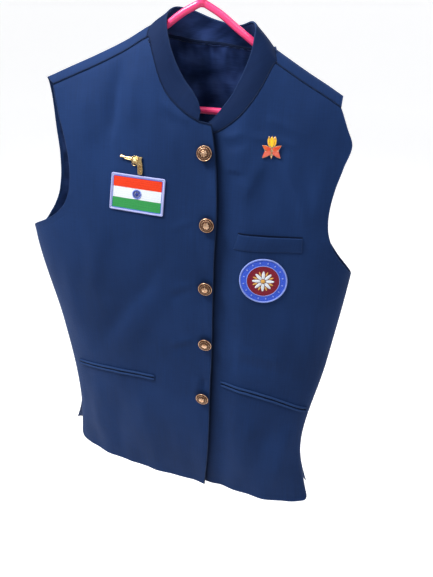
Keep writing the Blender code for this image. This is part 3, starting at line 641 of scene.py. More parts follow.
def tube(
    name: str,
    path: Points,
    ups: Any,
    section: Section,
    sides: int,
    closed: bool,
    material: Material,
    relief: float | None = None,
) -> Piece:
    """Make a tube along a path.

    Args:
        name: The piece's name.
        path: The points that the tube follows.
        ups: Direction of each section's height.
        section: Gives width and height offsets from the length along the path and the angle.
        sides: Number of points round a section.
        closed: Whether the path ends where it starts.
        material: The finish.
        relief: Relief of the whole tube from 0 to 1, or none.

    Returns:
        The object.
    """
    ahead = unit(np.roll(path, -1, 0) - np.roll(path, 1, 0)) if closed else unit(np.gradient(path, axis=0))
    beside = unit(np.cross(ahead, ups))
    over = np.cross(beside, ahead)
    angles, along = circle(sides)[None], running(path)[:, None]
    wide, high = section(along, angles)
    grid = path[:, None] + beside[:, None] * wide[..., None] + over[:, None] * high[..., None]
    around = angles * float(np.abs(wide).max())
    grain = np.stack(level(along, around, FAR_FROM_EDGE), -1).reshape(-1, 3)
    high_places = None if relief is None else np.full(len(grain), relief)
    faces = tube_faces(len(path), sides, closed)
    return make_piece(name, grid.reshape(-1, 3), faces, [material], None, grain, high_places)


def cord(
    name: str, path: Points, ups: Points, radius: float, pitch: float, sides: int, material: Material
) -> Piece:
    """Make an overlocked border: a closed round ridge wound with slanting thread.

    Args:
        name: The piece's name.
        path: The closed line that it follows.
        ups: Directions off the cloth.
        radius: Radius of the ridge.
        pitch: Distance between turns of the thread.
        sides: Number of points round it.
        material: Its thread.

    Returns:
        The object.
    """
    whole = float(running(np.concatenate((path, path[:1])))[-1])
    turns = TURN * round(whole / pitch) / whole

    def section(along: Points, angles: Points) -> tuple[Points, Points]:
        """Width and height of the wound ridge."""
        wound = radius * (1 + 0.11 * np.sin(along * turns + angles))
        return np.cos(angles) * wound * 1.15, np.sin(angles) * wound * 0.8

    return tube(name, path, ups, section, sides, True, material)


def join_pieces(name: str, pieces: list) -> Piece:
    """Join several objects into one.

    Args:
        name: The joined piece's name.
        pieces: The objects, which are used up.

    Returns:
        The joined object.
    """
    model = bmesh.new()
    places: dict = {}
    for piece in pieces:
        numbers = [places.setdefault(material, len(places)) for material in piece.data.materials]
        before = len(model.faces)
        model.from_mesh(piece.data)
        model.faces.ensure_lookup_table()
        for face in model.faces[before:]:
            face.material_index = numbers[face.material_index]
        bpy.data.objects.remove(piece, do_unlink=True)
    joined = bpy.data.meshes.new(name)
    model.to_mesh(joined)
    model.free()
    for material in places:
        joined.materials.append(material)
    return shown(name, joined)


def settle(piece: Piece, slot: str, node: str = "", **cut: Any) -> Piece:
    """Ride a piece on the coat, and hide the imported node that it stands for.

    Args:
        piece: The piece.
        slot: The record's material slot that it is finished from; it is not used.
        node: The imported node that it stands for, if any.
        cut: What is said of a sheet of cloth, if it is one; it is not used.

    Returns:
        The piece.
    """
    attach(piece, BODY)
    if node:
        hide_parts(node)
    return piece


@dataclass
class Wall:
    """A cloth wall with a rounded rim, made from the grid of its outer face.

    Attributes:
        grid: Points of the outer face.
        thickness: Thickness of the cloth.
        depths: Unit vectors into the cloth, or none for the grid's own.
        arc: Number of steps round the rim.
        seams: Shares of seam along the left, right, top and bottom rims, which then meet their neighbours.
        shade: Painted shade of each point, in a seam or under an edge, from 0 to 1, or none; it darkens the
            cloth's colour.
    """

    grid: Points
    thickness: float
    depths: Points | None = None
    arc: int = 4
    seams: tuple = (0.0, 0.0, 0.0, 0.0)
    shade: Points | None = None

    @staticmethod
    def normals(grid: Points) -> Points:
        """Unit vectors towards the front, from the cells round each point.

        Args:
            grid: Rows of points.

        Returns:
            The vectors.
        """
        cells = unit(np.cross(grid[1:, 1:] - grid[:-1, :-1], grid[:-1, 1:] - grid[1:, :-1]))
        total = np.zeros_like(grid)
        for rows in (slice(None, -1), slice(1, None)):
            for columns in (slice(None, -1), slice(1, None)):
                total[rows, columns] += cells
        return unit(total)

    @staticmethod
    def plain_grain(grid: Points) -> Points:
        """Place on the cloth of each point, by the lengths along the grid, and how far the border is."""
        u, v = running(grid, 1), running(grid, 0)
        return np.stack((u, v, np.minimum(np.minimum(u, u[:, -1:] - u), np.minimum(v, v[-1:] - v))), -1)

    def rim(self, outer: Points, depths: Points, ways: Points) -> tuple[Points, list]:
        """Points of the rounded rim.

        Args:
            outer: Points of the outer face.
            depths: Unit vectors into the cloth.
            ways: Unit vectors out of the border.

        Returns:
            Numbers of the border's points, and the rings of points round the rim.
        """
        rows, columns, _ = outer.shape
        loop = [(i, 0) for i in range(rows - 1)] + [(rows - 1, j) for j in range(columns - 1)]
        loop += [(i, columns - 1) for i in range(rows - 1, 0, -1)]
        loop += [(0, j) for j in range(columns - 1, 0, -1)]
        i, j = np.array(loop).T
        radius = self.thickness / 2
        arcs = []
        for angle in np.linspace(0, math.pi, self.arc + 1)[1:-1]:
            turned = depths[i, j] * (1 - math.cos(angle)) + ways[i, j] * math.sin(angle)
            arcs.append(outer[i, j] + radius * turned)
        return i * columns + j, arcs

    def build(
        self,
        name: str,
        materials: Sequence[Material],
        grain: Points | None = None,
        inside: Points | None = None,
    ) -> Piece:
        """Make the closed wall.

        Args:
            name: The piece's name.
            materials: The finishes, the outer face's first.
            grain: The grain attribute's grid, or none for the grid's own lengths.
            inside: Number of the material of each cell of the inner face, or none for the first.

        Returns:
            The object.
        """
        rows, columns, _ = self.grid.shape
        depths = -self.normals(self.grid) if self.depths is None else self.depths
        grain = self.plain_grain(self.grid) if grain is None else grain
        ways, pulls = np.zeros_like(self.grid), np.zeros_like(self.grid)
        edges = [(np.s_[:, k], np.s_[:, k + step]) for k, step in ((0, 1), (-1, -1))]
        edges += [(np.s_[k], np.s_[k + step]) for k, step in ((0, 1), (-1, -1))]
        for (rim, next_in), seam in zip(edges, self.seams):
            way = unit(self.grid[rim] - self.grid[next_in])
            way -= depths[rim] * np.sum(way * depths[rim], -1, keepdims=True)
            ways[rim] += way
            pulls[rim] += way * (1 - SEAM_OVERLAP * np.broadcast_to(seam, len(way)))[:, None]
        outer = self.grid - pulls * (self.thickness / 2)
        border, arcs = self.rim(outer, depths, ways)
        count, size = rows * columns, len(border)
        steps = [2 * count + k * size + np.arange(size) for k in range(len(arcs))]
        rings = [border, *steps, border + count]
        front = cell_faces(rows, columns)
        faces = [front, front[:, ::-1] + count]
        for low, high in zip(rings, rings[1:]):
            faces.append(np.stack((np.roll(low, -1), np.roll(high, -1), high, low), -1))
        faces = np.concatenate(faces)
        inner = outer + depths * self.thickness
        points = np.concatenate([outer.reshape(-1, 3), inner.reshape(-1, 3)] + arcs)
        flat = grain.reshape(-1, 3)
        lay = np.concatenate([flat, flat] + [flat[border]] * len(arcs))
        slots = np.zeros(len(faces), int)
        if inside is not None:
            slots[len(front) : 2 * len(front)] = inside.ravel()
        # Painted shade, carried to the cloth's colour in the "relief" attribute.
        deep = None
        if self.shade is not None:
            shade = self.shade.ravel()
            deep = np.concatenate([shade, shade] + [shade[border]] * len(arcs))
        return make_piece(name, points, list(faces), materials, slots, lay, deep)


# The hanging form


class Curve:
    """A smooth curve through rows of numbers, each with its own place along the curve."""

    def __init__(self, places: Sequence[float], values: Any):
        """Sort the rows, or single numbers, by their places and find their slopes.

        Args:
            places: Place of each row along the curve.
            values: The rows, or single numbers.
        """
        order = np.argsort(places)
        self.places = np.asarray(places, float)[order]
        rows = np.asarray(values, float)
        self.values = (rows if rows.ndim > 1 else rows[:, None])[order]
        self.slopes = np.gradient(self.values, self.places, axis=0)

    def __call__(self, place: Any) -> Points:
        """The rows at any places, held at the ends.

        Args:
            place: The places.

        Returns:
            The rows there.
        """
        place = np.clip(np.asarray(place, float), self.places[0], self.places[-1])
        i = np.clip(np.searchsorted(self.places, place) - 1, 0, len(self.places) - 2)
        span = (self.places[i + 1] - self.places[i])[..., None]
        t = (place - self.places[i])[..., None] / span
        rise = t * t * (3 - 2 * t)
        bend = self.slopes[i] * t * (1 - t) ** 2 * span + self.slopes[i + 1] * t * t * (t - 1) * span
        return self.values[i] * (1 - rise) + self.values[i + 1] * rise + bend


def rounded_loop(corners: Sequence[tuple[float, float]], count: int, tension: float = 0.5) -> Points:
    """Closed smooth line through corners, evenly divided.

    Args:
        corners: The points that the line passes.
        count: Number of points wanted.
        tension: Roundness, from 0 for straight to 0.5.

    Returns:
        The line's points.
    """
    knots = np.array(corners, float)
    before, after, later = np.roll(knots, 1, 0), np.roll(knots, -1, 0), np.roll(knots, -2, 0)
    t = np.linspace(0, 1, 12, endpoint=False)[None, :, None]
    leave, arrive = (after - before)[:, None] * tension, (later - knots)[:, None] * tension
    line = (2 * t**3 - 3 * t**2 + 1) * knots[:, None] + (t**3 - 2 * t**2 + t) * leave
    line = line + (3 * t**2 - 2 * t**3) * after[:, None] + (t**3 - t**2) * arrive
    line = line.reshape(-1, 2)
    whole = np.concatenate((line, line[:1]))
    lengths = running(whole)
    wanted = np.linspace(0, lengths[-1], count, endpoint=False)
    return np.stack([np.interp(wanted, lengths, whole[:, k]) for k in (0, 1)], -1)


@dataclass(frozen=True)
class Crease:
    """A soft fold laid in the cloth.

    Attributes:
        line: Places in x and z along its crest.
        height: How far it stands out, or with a minus how far it sinks.
        width: How far from its crest it has mostly died away.
        lean: From -1 to 1, how much steeper one side is.
        face: The face of the coat that it lies on.
        fade: Share of its length in which each end dies away.
    """

    line: tuple
    height: float
    width: float
    lean: float = 0.0
    face: Face = Face.FRONT
    fade: float = 0.35

    @cached_property
    def path(self) -> tuple[Points, Points]:
        """Lengths along the crest and the places there.

        Returns:
            The lengths, and rows of x and z.
        """
        knots = np.array(self.line, float)
        places = running(knots)
        steps = np.linspace(0, places[-1], 4 * len(knots))
        return steps, Curve(places, knots)(steps)

    def at(self, x: Points, z: Points) -> Points:
        """Height of the fold at places on its face.

        Args:
            x: Sideways places.
            z: Heights of the places.

        Returns:
            The fold's height there.
        """
        steps, path = self.path
        margin = 3.2 * self.width
        low, high = path.min(0) - margin, path.max(0) + margin
        if x.max() < low[0] or x.min() > high[0] or z.max() < low[1] or z.min() > high[1]:
            return np.zeros(x.shape)
        nearest, along, side = np.full(x.shape, 1e6), np.zeros(x.shape), np.ones(x.shape)
        for first, last, begin, end in zip(path, path[1:], steps, steps[1:]):
            run = last - first
            across_x, across_z = x - first[0], z - first[1]
            t = np.clip((across_x * run[0] + across_z * run[1]) / (run @ run), 0, 1)
            gap = np.hypot(across_x - t * run[0], across_z - t * run[1])
            closer = gap < nearest
            nearest = np.where(closer, gap, nearest)
            along = np.where(closer, begin + t * (end - begin), along)
            side = np.where(closer, np.sign(across_x * run[1] - across_z * run[0]), side)
        share = along / steps[-1]
        ends = eased(share / self.fade) * eased((1 - share) / self.fade)
        return self.height * ends * bell(nearest, 0, self.width * (1 + self.lean * side))


@dataclass(frozen=True)
class Form:
    """The coat's outer surface as it hangs: front, back, the fold over the hanger and the laid folds.

    A face is -1 on the front and 1 on the back.

    Attributes:
        rings: Height, left x and y, right x and y, and bulge of rings round the front.
        back_bulges: Height and bulge of the back.
        ridge: The top of the fold over the hanger.
        vent_flare: How far the back's edges swing out at the hem.
        creases: The folds laid in the cloth.
    """

    rings: tuple = (
        (-87.5, -24.0, 0.6, 20.9, -6.6, 3.7),
        (-76.5, -23.2, 0.2, 18.75, -5.9, 4.5),
        (-60.0, -24.6, -0.4, 21.4, -3.6, 5.3),
        (-44.0, -27.5, -0.8, 23.6, -1.6, 6.0),
        (-30.0, -28.0, -0.3, 24.5, -0.6, 6.3),
        (-8.0, -28.0, 0.0, 24.5, 0.0, 6.3),
    )
    back_bulges: tuple = ((-87.5, 3.6), (-76.5, 5.4), (-60.0, 5.6), (-44.0, 5.2), (-30.0, 5.3), (-8.0, 5.4))
    ridge: tuple = (
        (-28.0, -21.8), (-23.3, -19.6), (-19.4, -17.9), (-15.4, -16.2), (-10.5, -13.9),
        (-7.3, -12.1), (0.0, -10.3), (5.0, -11.2), (10.1, -14.4), (14.5, -17.05),
        (18.8, -19.5), (21.5, -21.3), (24.5, -23.0),
    )
    vent_flare: tuple = (-2.9, 3.8, -0.5, 3.8)
    hem_z: float = -86.8
    vent_top_z: float = -76.8
    fold_reach: float = 30.0
    under_edge_x: float = 3.9
    creases: tuple = ()

    def ring(self, z: Points, face: Points) -> Points:
        """Left x and y, right x and y, and bulge at heights.

        Args:
            z: The heights.
            face: The face.

        Returns:
            Rows of five numbers.
        """
        z, face = np.broadcast_arrays(np.asarray(z, float), face)
        rows = Curve([row[0] for row in self.rings], [row[1:] for row in self.rings])(z)
        rows[..., 4] = np.where(face > 0, Curve(*zip(*self.back_bulges))(z)[..., 0], rows[..., 4])
        below = np.maximum(self.vent_top_z - z, 0) / (self.vent_top_z - self.hem_z)
        rows[..., :4] += np.array(self.vent_flare) * (below**1.35 * (face > 0))[..., None]
        return rows

    def ridge_z(self, x: Any) -> Points:
        """Height of the fold over the hanger."""
        return Curve(*zip(*self.ridge))(x)[..., 0]

    def across(self, x: Points, z: Points, face: Points) -> Points:
        """Place between the side folds, from -1 to 1."""
        rows = self.ring(z, face)
        return np.clip((2 * x - rows[..., 0] - rows[..., 2]) / (rows[..., 2] - rows[..., 0]), -1, 1)

    def level_x(self, turn: Points, z: Points, face: Points) -> Points:
        """Sideways places from turns between the side folds, from -1 to 1."""
        left, _, right, _, _ = np.moveaxis(self.ring(z, face), -1, 0)
        return (left + right) / 2 + (right - left) / 2 * np.sin(turn * math.pi / 2)

    def opening(self, drop: Points) -> Points:
        """Share of its depth that the coat has at drops below the fold."""
        return (1 - (1 - drop / self.fold_reach) ** 2) ** 0.55

    def point(self, x: Any, z: Any, face: Any) -> Points:
        """Points of the smooth surface.

        Args:
            x: Sideways places.
            z: Heights.
            face: The face.

        Returns:
            The points.
        """
        x, z, face = level(x, z, face)
        rows = self.ring(z, face)
        across = self.across(x, z, face)
        rounding = np.sqrt(1 - np.abs(across) ** 2.5)
        drop = np.clip(self.ridge_z(x) - z, 0, self.fold_reach)
        y = rows[..., 1] + (rows[..., 3] - rows[..., 1]) * (across + 1) / 2
        y = y + face * rows[..., 4] * rounding * self.opening(drop)
        collar_push = 2.1 * bell(x, 1.5, 9.0) * bell(z, -14.4, 6.0) * np.minimum(drop, 1.0)
        return np.stack((x, y + collar_push * (face > 0), z), -1)

    def slope(self, place: Callable[..., Points], x: Any, z: Any, face: Any) -> Points:
        """Outward unit normals of a surface, by small steps along it.

        Args:
            place: Gives the surface's points.
            x: Sideways places.
            z: Heights.
            face: The face.

        Returns:
            The normals.
        """
        step = 0.05
        x, z = np.asarray(x, float), np.asarray(z, float)
        along = place(x + step, z, face) - place(x - step, z, face)
        up = place(x, z + step, face) - place(x, z - step, face)
        normal = unit(np.cross(along, up))
        return normal * np.where(normal[..., 1] * face > 0, 1.0, -1.0)[..., None]

    def sag(self, x: Any, z: Any, face: Any) -> Points:
        """Height of all folds and ripples together, which die away at the side seams and over the hanger.

        Args:
            x: Sideways places.
            z: Heights.
            face: The face.

        Returns:
            How far the cloth stands out from the smooth surface.
        """
        x, z, face = level(x, z, face)
        total = np.zeros(x.shape)
        for crease in self.creases:
            total += crease.at(x, z) * (face == crease.face.value)
        turn = face * 1.7
        total += 0.055 * np.sin(0.52 * x + 0.11 * z + turn) * np.sin(0.05 * z + 0.3 * turn)
        total += 0.035 * np.sin(0.81 * x - 0.23 * z + 2.0 * turn + 0.6 * np.sin(0.13 * z))
        total += 0.016 * np.sin(1.9 * x + 0.9 * np.sin(0.31 * z + turn)) * np.sin(0.37 * z + 0.4 * x)
        total += 0.010 * np.sin(1.1 * z - 0.7 * x + turn) * np.sin(0.9 * x + 0.35 * z)
        near_hem = eased((-72.0 - z) / 16.0)
        total += near_hem * (0.16 * np.sin(0.62 * x + 0.9 + turn) + 0.07 * np.sin(1.25 * x + 2.0 - turn))
        drop = self.ridge_z(x) - z
        aside = 1 - np.abs(self.across(x, z, face))
        return total * eased(drop / 3.0) * eased(aside / 0.05)

    def cloth(self, x: Any, z: Any, face: Any) -> Points:
        """Points of the cloth's outer face, with its folds."""
        return self.point(x, z, face) + self.slope(self.point, x, z, face) * self.sag(x, z, face)[..., None]

    def under_step(self, x: Any, z: Any) -> Points:
        """How far the under front lies behind the over front."""
        edge = np.where(np.asarray(z) > -30, 3.2, self.under_edge_x)
        return 0.62 * eased((edge + 4.4 - x) / 3.6)

    def off(self, x: Any, z: Any) -> Points:
        """Directions off the front's cloth."""
        return self.slope(self.cloth, x, z, Face.FRONT.value)

    def front(self, x: Any, z: Any, lift: Any = 0.0) -> Points:
        """Points off the front that shows, the under front included.

        Args:
            x: Sideways places.
            z: Heights.
            lift: Distance out from the cloth.

        Returns:
            The points.
        """
        x, z, lift = level(x, z, lift)
        place = self.cloth(x, z, Face.FRONT.value) + self.off(x, z) * lift[..., None]
        place[..., 1] += self.under_step(x, z) * (x > self.under_edge_x)
        return place

    def front_frame(self, x: float, z: float, lift: float, turn: float = 0.0) -> Matrix:
        """Where a small piece goes on the front, its +Z outwards and its +Y up the cloth.

        Args:
            x: Sideways place.
            z: Height.
            lift: Distance out from the cloth.
            turn: Degrees that it is turned about its +Z.

        Returns:
            The matrix that places it, in metres.
        """
        normal = Vector(self.slope(self.point, x, z, Face.FRONT.value))
        side = Vector(OUTWARD_Z).cross(normal).normalized()
        axes = Matrix((side, normal.cross(side), normal)).transposed().to_4x4()
        return Matrix.Translation(Vector(self.front(x, z, lift)) * CM) @ axes @ spin(turn, "Z")

    def to_fold(self, marks: Any, on_back: bool) -> Points:
        """Turn outline marks into turns from side to side and roots of their drops.

        Args:
            marks: Rows of x, z and face.
            on_back: Whether they belong to the back panel.

        Returns:
            Rows of turn and root; a root is minus on a back panel's strip over the front.
        """
        x, z, face = np.array(marks, float).T
        root = np.sqrt(np.maximum(self.ridge_z(x) - z, 0))
        sign = np.where(on_back & (face < 0), -1.0, 1.0)
        return np.stack((np.arcsin(self.across(x, z, face)) / (math.pi / 2), sign * root), -1)

    def from_fold(self, turn: Any, root: Any, on_back: bool) -> tuple[Points, Points, Points]:
        """Turn turns and roots back into places.

        Args:
            turn: Turns from side to side, from -1 to 1.
            root: Roots of the drops below the fold.
            on_back: Whether they belong to the back panel.

        Returns:
            x, z and face.
        """
        turn, root = np.asarray(turn, float), np.asarray(root, float)
        face = np.where(on_back & (root >= 0), 1.0, -1.0)
        x = np.zeros_like(turn)
        for _ in range(12):
            z = self.ridge_z(x) - root * root
            x = self.level_x(turn, z, face)
        return x, z, face


def spin(degrees: float, axis: str) -> Matrix:
    """Turn about an axis."""
    return Matrix.Rotation(math.radians(degrees), 4, axis)


# Cutting the panels


@dataclass(frozen=True)
class Pattern:
    """Outlines of the panels on the hanging form; a mark of an outline is x, z and face.

    Attributes:
        form: The surface that the panels lie on.
        fineness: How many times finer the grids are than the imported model's.
        neck_turns: Sideways place and drop of the marks where the back's neck turns to the front.
        wraps: The same where its armholes do.
    """

    form: Form
    fineness: int
    seam_gap: float = 0.03
    seam_drop: float = 1.35
    corner_lift: float = 0.7
    front_corner: float = 3.0
    corner_share: float = 6.0
    hem_bow: float = 0.4
    neck: tuple = (
        (0.9, -23.4, -1), (-0.7, -22.6, -1), (-2.3, -21.5, -1), (-3.9, -20.0, -1), (-4.9, -18.4, -1),
        (-5.7, -16.5, -1), (-6.4, -14.8, -1), (-7.0, -13.3, -1), (-7.1, -12.2, 1), (-6.4, -13.0, 1),
        (-3.4, -13.9, 1), (1.5, -14.4, 1), (6.2, -14.8, 1), (8.9, -14.9, 1), (9.8, -14.6, 1),
        (10.3, -16.1, -1), (9.3, -18.0, -1), (8.4, -19.7, -1), (7.3, -21.3, -1), (6.2, -22.6, -1),
        (4.9, -23.7, -1), (3.5, -24.6, -1), (1.6, -25.3, -1),
    )
    over_stand: tuple = ((0.9, -23.4, -1), (2.7, -23.7, -1))
    over_edge: tuple = (
        (2.7, -23.7, -1), (3.4, -27.7, -1), (3.9, -34.5, -1), (3.7, -44.0, -1),
        (3.6, -62.0, -1), (3.4, -77.0, -1), (2.7, -86.8, -1),
    )
    under_stand: tuple = ((1.6, -25.3, -1), (-1.6, -25.9, -1))
    under_edge: tuple = ((-1.6, -25.9, -1), (-1.4, -44.0, -1), (-1.6, -62.0, -1), (-2.0, -86.3, -1))
    left_front_armhole: tuple = (
        (-21.3, -22.6, -1), (-20.7, -24.6, -1), (-19.5, -28.6, -1), (-19.0, -31.8, -1), (-19.2, -35.0, -1),
        (-20.2, -37.6, -1), (-22.0, -39.6, -1), (-24.3, -41.1, -1), (-26.3, -42.2, -1),
    )
    right_front_armhole: tuple = (
        (20.6, -23.8, -1), (21.5, -26.0, -1), (20.7, -29.0, -1), (19.8, -32.3, -1), (19.4, -35.4, -1),
        (19.6, -38.0, -1), (20.5, -40.5, -1), (21.9, -42.7, -1), (23.0, -44.2, -1),
    )
    left_back_armhole: tuple = (
        (-23.4, -21.5, 1), (-23.6, -26.9, 1), (-23.6, -32.0, 1), (-23.9, -35.6, 1),
        (-24.6, -38.6, 1), (-25.8, -41.0, 1), (-26.9, -42.6, 1),
    )
    right_back_armhole: tuple = (
        (19.3, -21.5, 1), (18.6, -24.0, 1), (18.0, -29.0, 1), (17.8, -33.5, 1),
        (18.2, -37.5, 1), (19.3, -40.8, 1), (20.9, -43.0, 1), (22.5, -44.5, 1),
    )
    shoulder_ends: tuple = (-21.9, 19.5)
    front_neck_ends: tuple = (-7.0, 10.3)
    back_neck_ends: tuple = (-7.3, 10.6)
    neck_turns: tuple = ((-7.2, 0.2), (10.2, 0.2))
    wraps: tuple = ((-22.7, 0.4), (19.55, 0.4))
    tips: tuple = (-23.3, 19.6)
    pits: tuple = (-43.3, -45.2)

    def count(self, coarse: int) -> int:
        """Number of points in a stretch of the outline."""
        return (coarse - 1) * self.fineness + 1

    def spread(self, marks: Sequence, coarse: int, on_back: bool = False) -> Points:
        """Places evenly apart along a smooth outline through marks.

        Args:
            marks: The marks.
            coarse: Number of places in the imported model.
            on_back: Whether the outline belongs to the back panel.

        Returns:
            Rows of turn and root.
        """
        places = running(self.form.point(*np.array(marks, float).T))
        line = Curve(places, self.form.to_fold(marks, on_back))
        return line(np.linspace(0, places[-1], self.count(coarse)))

    @staticmethod
    def joined(*stretches: Points) -> Points:
        """Join stretches of an outline, whose ends are shared."""
        return np.concatenate([stretches[0]] + [stretch[1:] for stretch in stretches[1:]])

    def seam_mark(self, x: float, drop: float) -> tuple:
        """Mark of a forward shoulder seam, a set drop below the fold on the front."""
        return (x, float(self.form.ridge_z(x)) - drop, Face.FRONT.value)

    def shoulder(self, first: float, last: float, drop: float, count: int) -> list:
        """Marks of a shoulder seam from one x to another."""
        return [self.seam_mark(x, drop) for x in np.linspace(first, last, count)]

    def side(self, wrap: Sequence, armhole: Sequence, right: bool, face: int) -> Points:
        """Shoulder end, armhole, side seam and vent edge of a panel.

        Args:
            wrap: Marks over the shoulder's end, or none.
            armhole: Marks of the armhole.
            right: Whether it is the right side.
            face: The face that the panel lies on.

        Returns:
            Rows of turn and root, down to the hem.
        """
        on_back, pit_z, vent_z = face > 0, self.pits[right], self.form.vent_top_z
        seam = np.linspace(pit_z, vent_z, self.count(8))
        vent = np.linspace(vent_z, self.form.hem_z + self.corner_lift, self.count(3))
        heights = np.concatenate((seam, vent[1:]))
        side_x = self.form.ring(heights, face)[:, 2 if right else 0]
        stretches = [
            self.spread((*armhole, (side_x[0], pit_z, face)), 12, on_back),
            self.form.to_fold(np.stack((side_x, heights, np.full_like(heights, face)), -1), on_back),
        ]
        if wrap:
            stretches.insert(0, self.spread((*wrap, armhole[0]), 4, on_back))
        line = self.joined(*stretches)
        limit = 1 - self.seam_gap / 14.0
        line[:, 0] = np.clip(line[:, 0], -limit, limit)
        return line

    def hem(self, turns: tuple, face: int, heights: tuple, lifts: tuple, count: int) -> Points:
        """The hem from one corner to the other.

        Args:
            turns: The corners' turns.
            face: The face.
            heights: The corners' heights.
            lifts: How much the corners are rounded off.
            count: Number of points.

        Returns:
            Rows of turn and root.
        """
        over = np.linspace(0, 1, count)
        turn = turns[0] + (turns[1] - turns[0]) * over
        z = heights[0] + (heights[1] - heights[0]) * over - self.hem_bow * np.sin(math.pi * over)
        for lift, away in zip(lifts, (over, 1 - over)):
            z += lift * (1 - np.sqrt(1 - np.clip(1 - away * self.corner_share, 0, 1) ** 2))
        return np.stack((turn, np.sqrt(self.form.ridge_z(self.form.level_x(turn, z, face)) - z)), -1)

    def smoothed(self, values: Points) -> Points:
        """Each value averaged with its neighbours, both ends kept.

        Args:
            values: The values.

        Returns:
            The averages.
        """
        result = values.copy()
        for i in range(len(values)):
            reach = min(i, len(values) - 1 - i, 5 * self.fineness)
            result[i] = values[i - reach : i + reach + 1].mean()
        return result

    def fill(
        self, top: Points, left: Points, right: Points, face: int, heights: tuple, lifts: tuple
    ) -> tuple:
        """Fill a panel between its outlines.

        Args:
            top: The top outline, from left to right.
            left: The left outline, downwards.
            right: The right outline, downwards.
            face: The face that it lies on.
            heights: Heights of the hem's corners.
            lifts: How much these are rounded off.

        Returns:
            Grids of x, z and face.
        """
        hem = self.hem((left[-1, 0], right[-1, 0]), face, heights, lifts, len(top))

        def share(line: Points, axis: int) -> Points:
            """Share of the way that each point of a line has come."""
            return (line[:, axis] - line[0, axis]) / (line[-1, axis] - line[0, axis])

        evened = eased(np.linspace(0, 1, len(left)) / 0.35)[:, None]
        over = share(top, 0)[None] * (1 - evened) + np.linspace(0, 1, len(top))[None] * evened
        down = share(left, 1)[:, None] * (1 - over) + share(right, 1)[:, None] * over
        left_base, right_base = self.smoothed(left[:, 0]), self.smoothed(right[:, 0])
        turn = left_base[:, None] * (1 - over) + right_base[:, None] * over
        turn = turn + (left[:, 0] - left_base)[:, None] * (1 - over) ** 3
        turn = turn + (right[:, 0] - right_base)[:, None] * over**3
        root = top[None, :, 1] * (1 - down) + hem[None, :, 1] * down
        return self.form.from_fold(turn, root, face > 0)

    def over_front(self) -> tuple:
        """Grids of x, z and face of the wearer's right front.

        Returns:
            The three grids.
        """
        drop = self.seam_drop + self.seam_gap
        seam = self.shoulder(self.shoulder_ends[0], self.front_neck_ends[0], drop, 6)
        neck = self.spread([seam[-1], *self.neck[6::-1]], 14)
        top = self.joined(self.spread(seam, 8), neck, self.spread(self.over_stand, 3))
        left = self.side((), (seam[0], *self.left_front_armhole), False, -1)
        heights = (self.form.hem_z, self.form.hem_z)
        return self.fill(top, left, self.spread(self.over_edge, 21), -1, heights, (self.front_corner, 0))

    def under_front(self) -> tuple:
        """Grids of x, z and face of the wearer's left front.

        Returns:
            The three grids.
        """
        drop = self.seam_drop + self.seam_gap
        seam = self.shoulder(self.front_neck_ends[1], self.shoulder_ends[1], drop, 6)
        neck = self.spread([*self.neck[:15:-1], seam[0]], 14)
        top = self.joined(self.spread(self.under_stand[::-1], 3), neck, self.spread(seam, 6))
        right = self.side((), (seam[-1], *self.right_front_armhole), True, -1)
        heights = (self.under_edge[-1][1], self.form.hem_z)
        return self.fill(top, self.spread(self.under_edge, 21), right, -1, heights, (0, self.corner_lift))

    def back_turns(self, drop: float) -> tuple:
        """Outlines of the back's neck between its shoulder seams: left turn, neck and right turn.

        Args:
            drop: How far the seams lie below the fold.

        Returns:
            The three outlines.
        """
        left, right = (self.seam_mark(x, drop) for x in self.back_neck_ends)
        return (
            self.spread((left, self.seam_mark(*self.neck_turns[0]), self.neck[8]), 3, True),
            self.spread(self.neck[8:15], 11, True),
            self.spread((self.neck[14], self.seam_mark(*self.neck_turns[1]), right), 3, True),
        )

    def back(self) -> tuple:
        """Grids of x, z and face of the back, with the strips that wrap forward over the shoulders.

        Returns:
            The three grids.
        """
        drop = self.seam_drop - self.seam_gap
        left_seam = self.shoulder(self.shoulder_ends[0], self.back_neck_ends[0], drop, 5)
        right_seam = self.shoulder(self.back_neck_ends[1], self.shoulder_ends[1], drop, 4)
        seams = (self.spread(left_seam, 8, True), self.spread(right_seam, 6, True))
        top = self.joined(seams[0], *self.back_turns(drop), seams[1])
        tips = [(x, float(self.form.ridge_z(x)), 1) for x in self.tips]
        left_wrap, right_wrap = (self.seam_mark(*mark) for mark in self.wraps)
        left = self.side((left_seam[0], left_wrap), (tips[0], *self.left_back_armhole), False, 1)
        right = self.side((right_seam[-1], right_wrap), (tips[1], *self.right_back_armhole), True, 1)
        return self.fill(top, left, right, 1, (self.form.hem_z,) * 2, (self.corner_lift,) * 2)

    def neck_seam(self) -> Points:
        """Points of the neck seam on the cloth, from the over front's end to the under front's.

        Returns:
            The points.
        """
        drop = self.seam_drop + self.seam_gap
        left, right = (self.seam_mark(x, drop) for x in self.front_neck_ends)
        over, under = self.spread([*self.neck[:7], left], 14), self.spread([right, *self.neck[16:]], 14)
        back = self.joined(*self.back_turns(drop))[1:-1]
        lines = []
        for folds, on_back in ((over, False), (back, True), (under, False)):
            lines.append(self.form.cloth(*self.form.from_fold(*folds.T, on_back)))
        lines[2][:, 1] += self.form.under_step(lines[2][:, 0], lines[2][:, 2])
        return np.concatenate(lines)


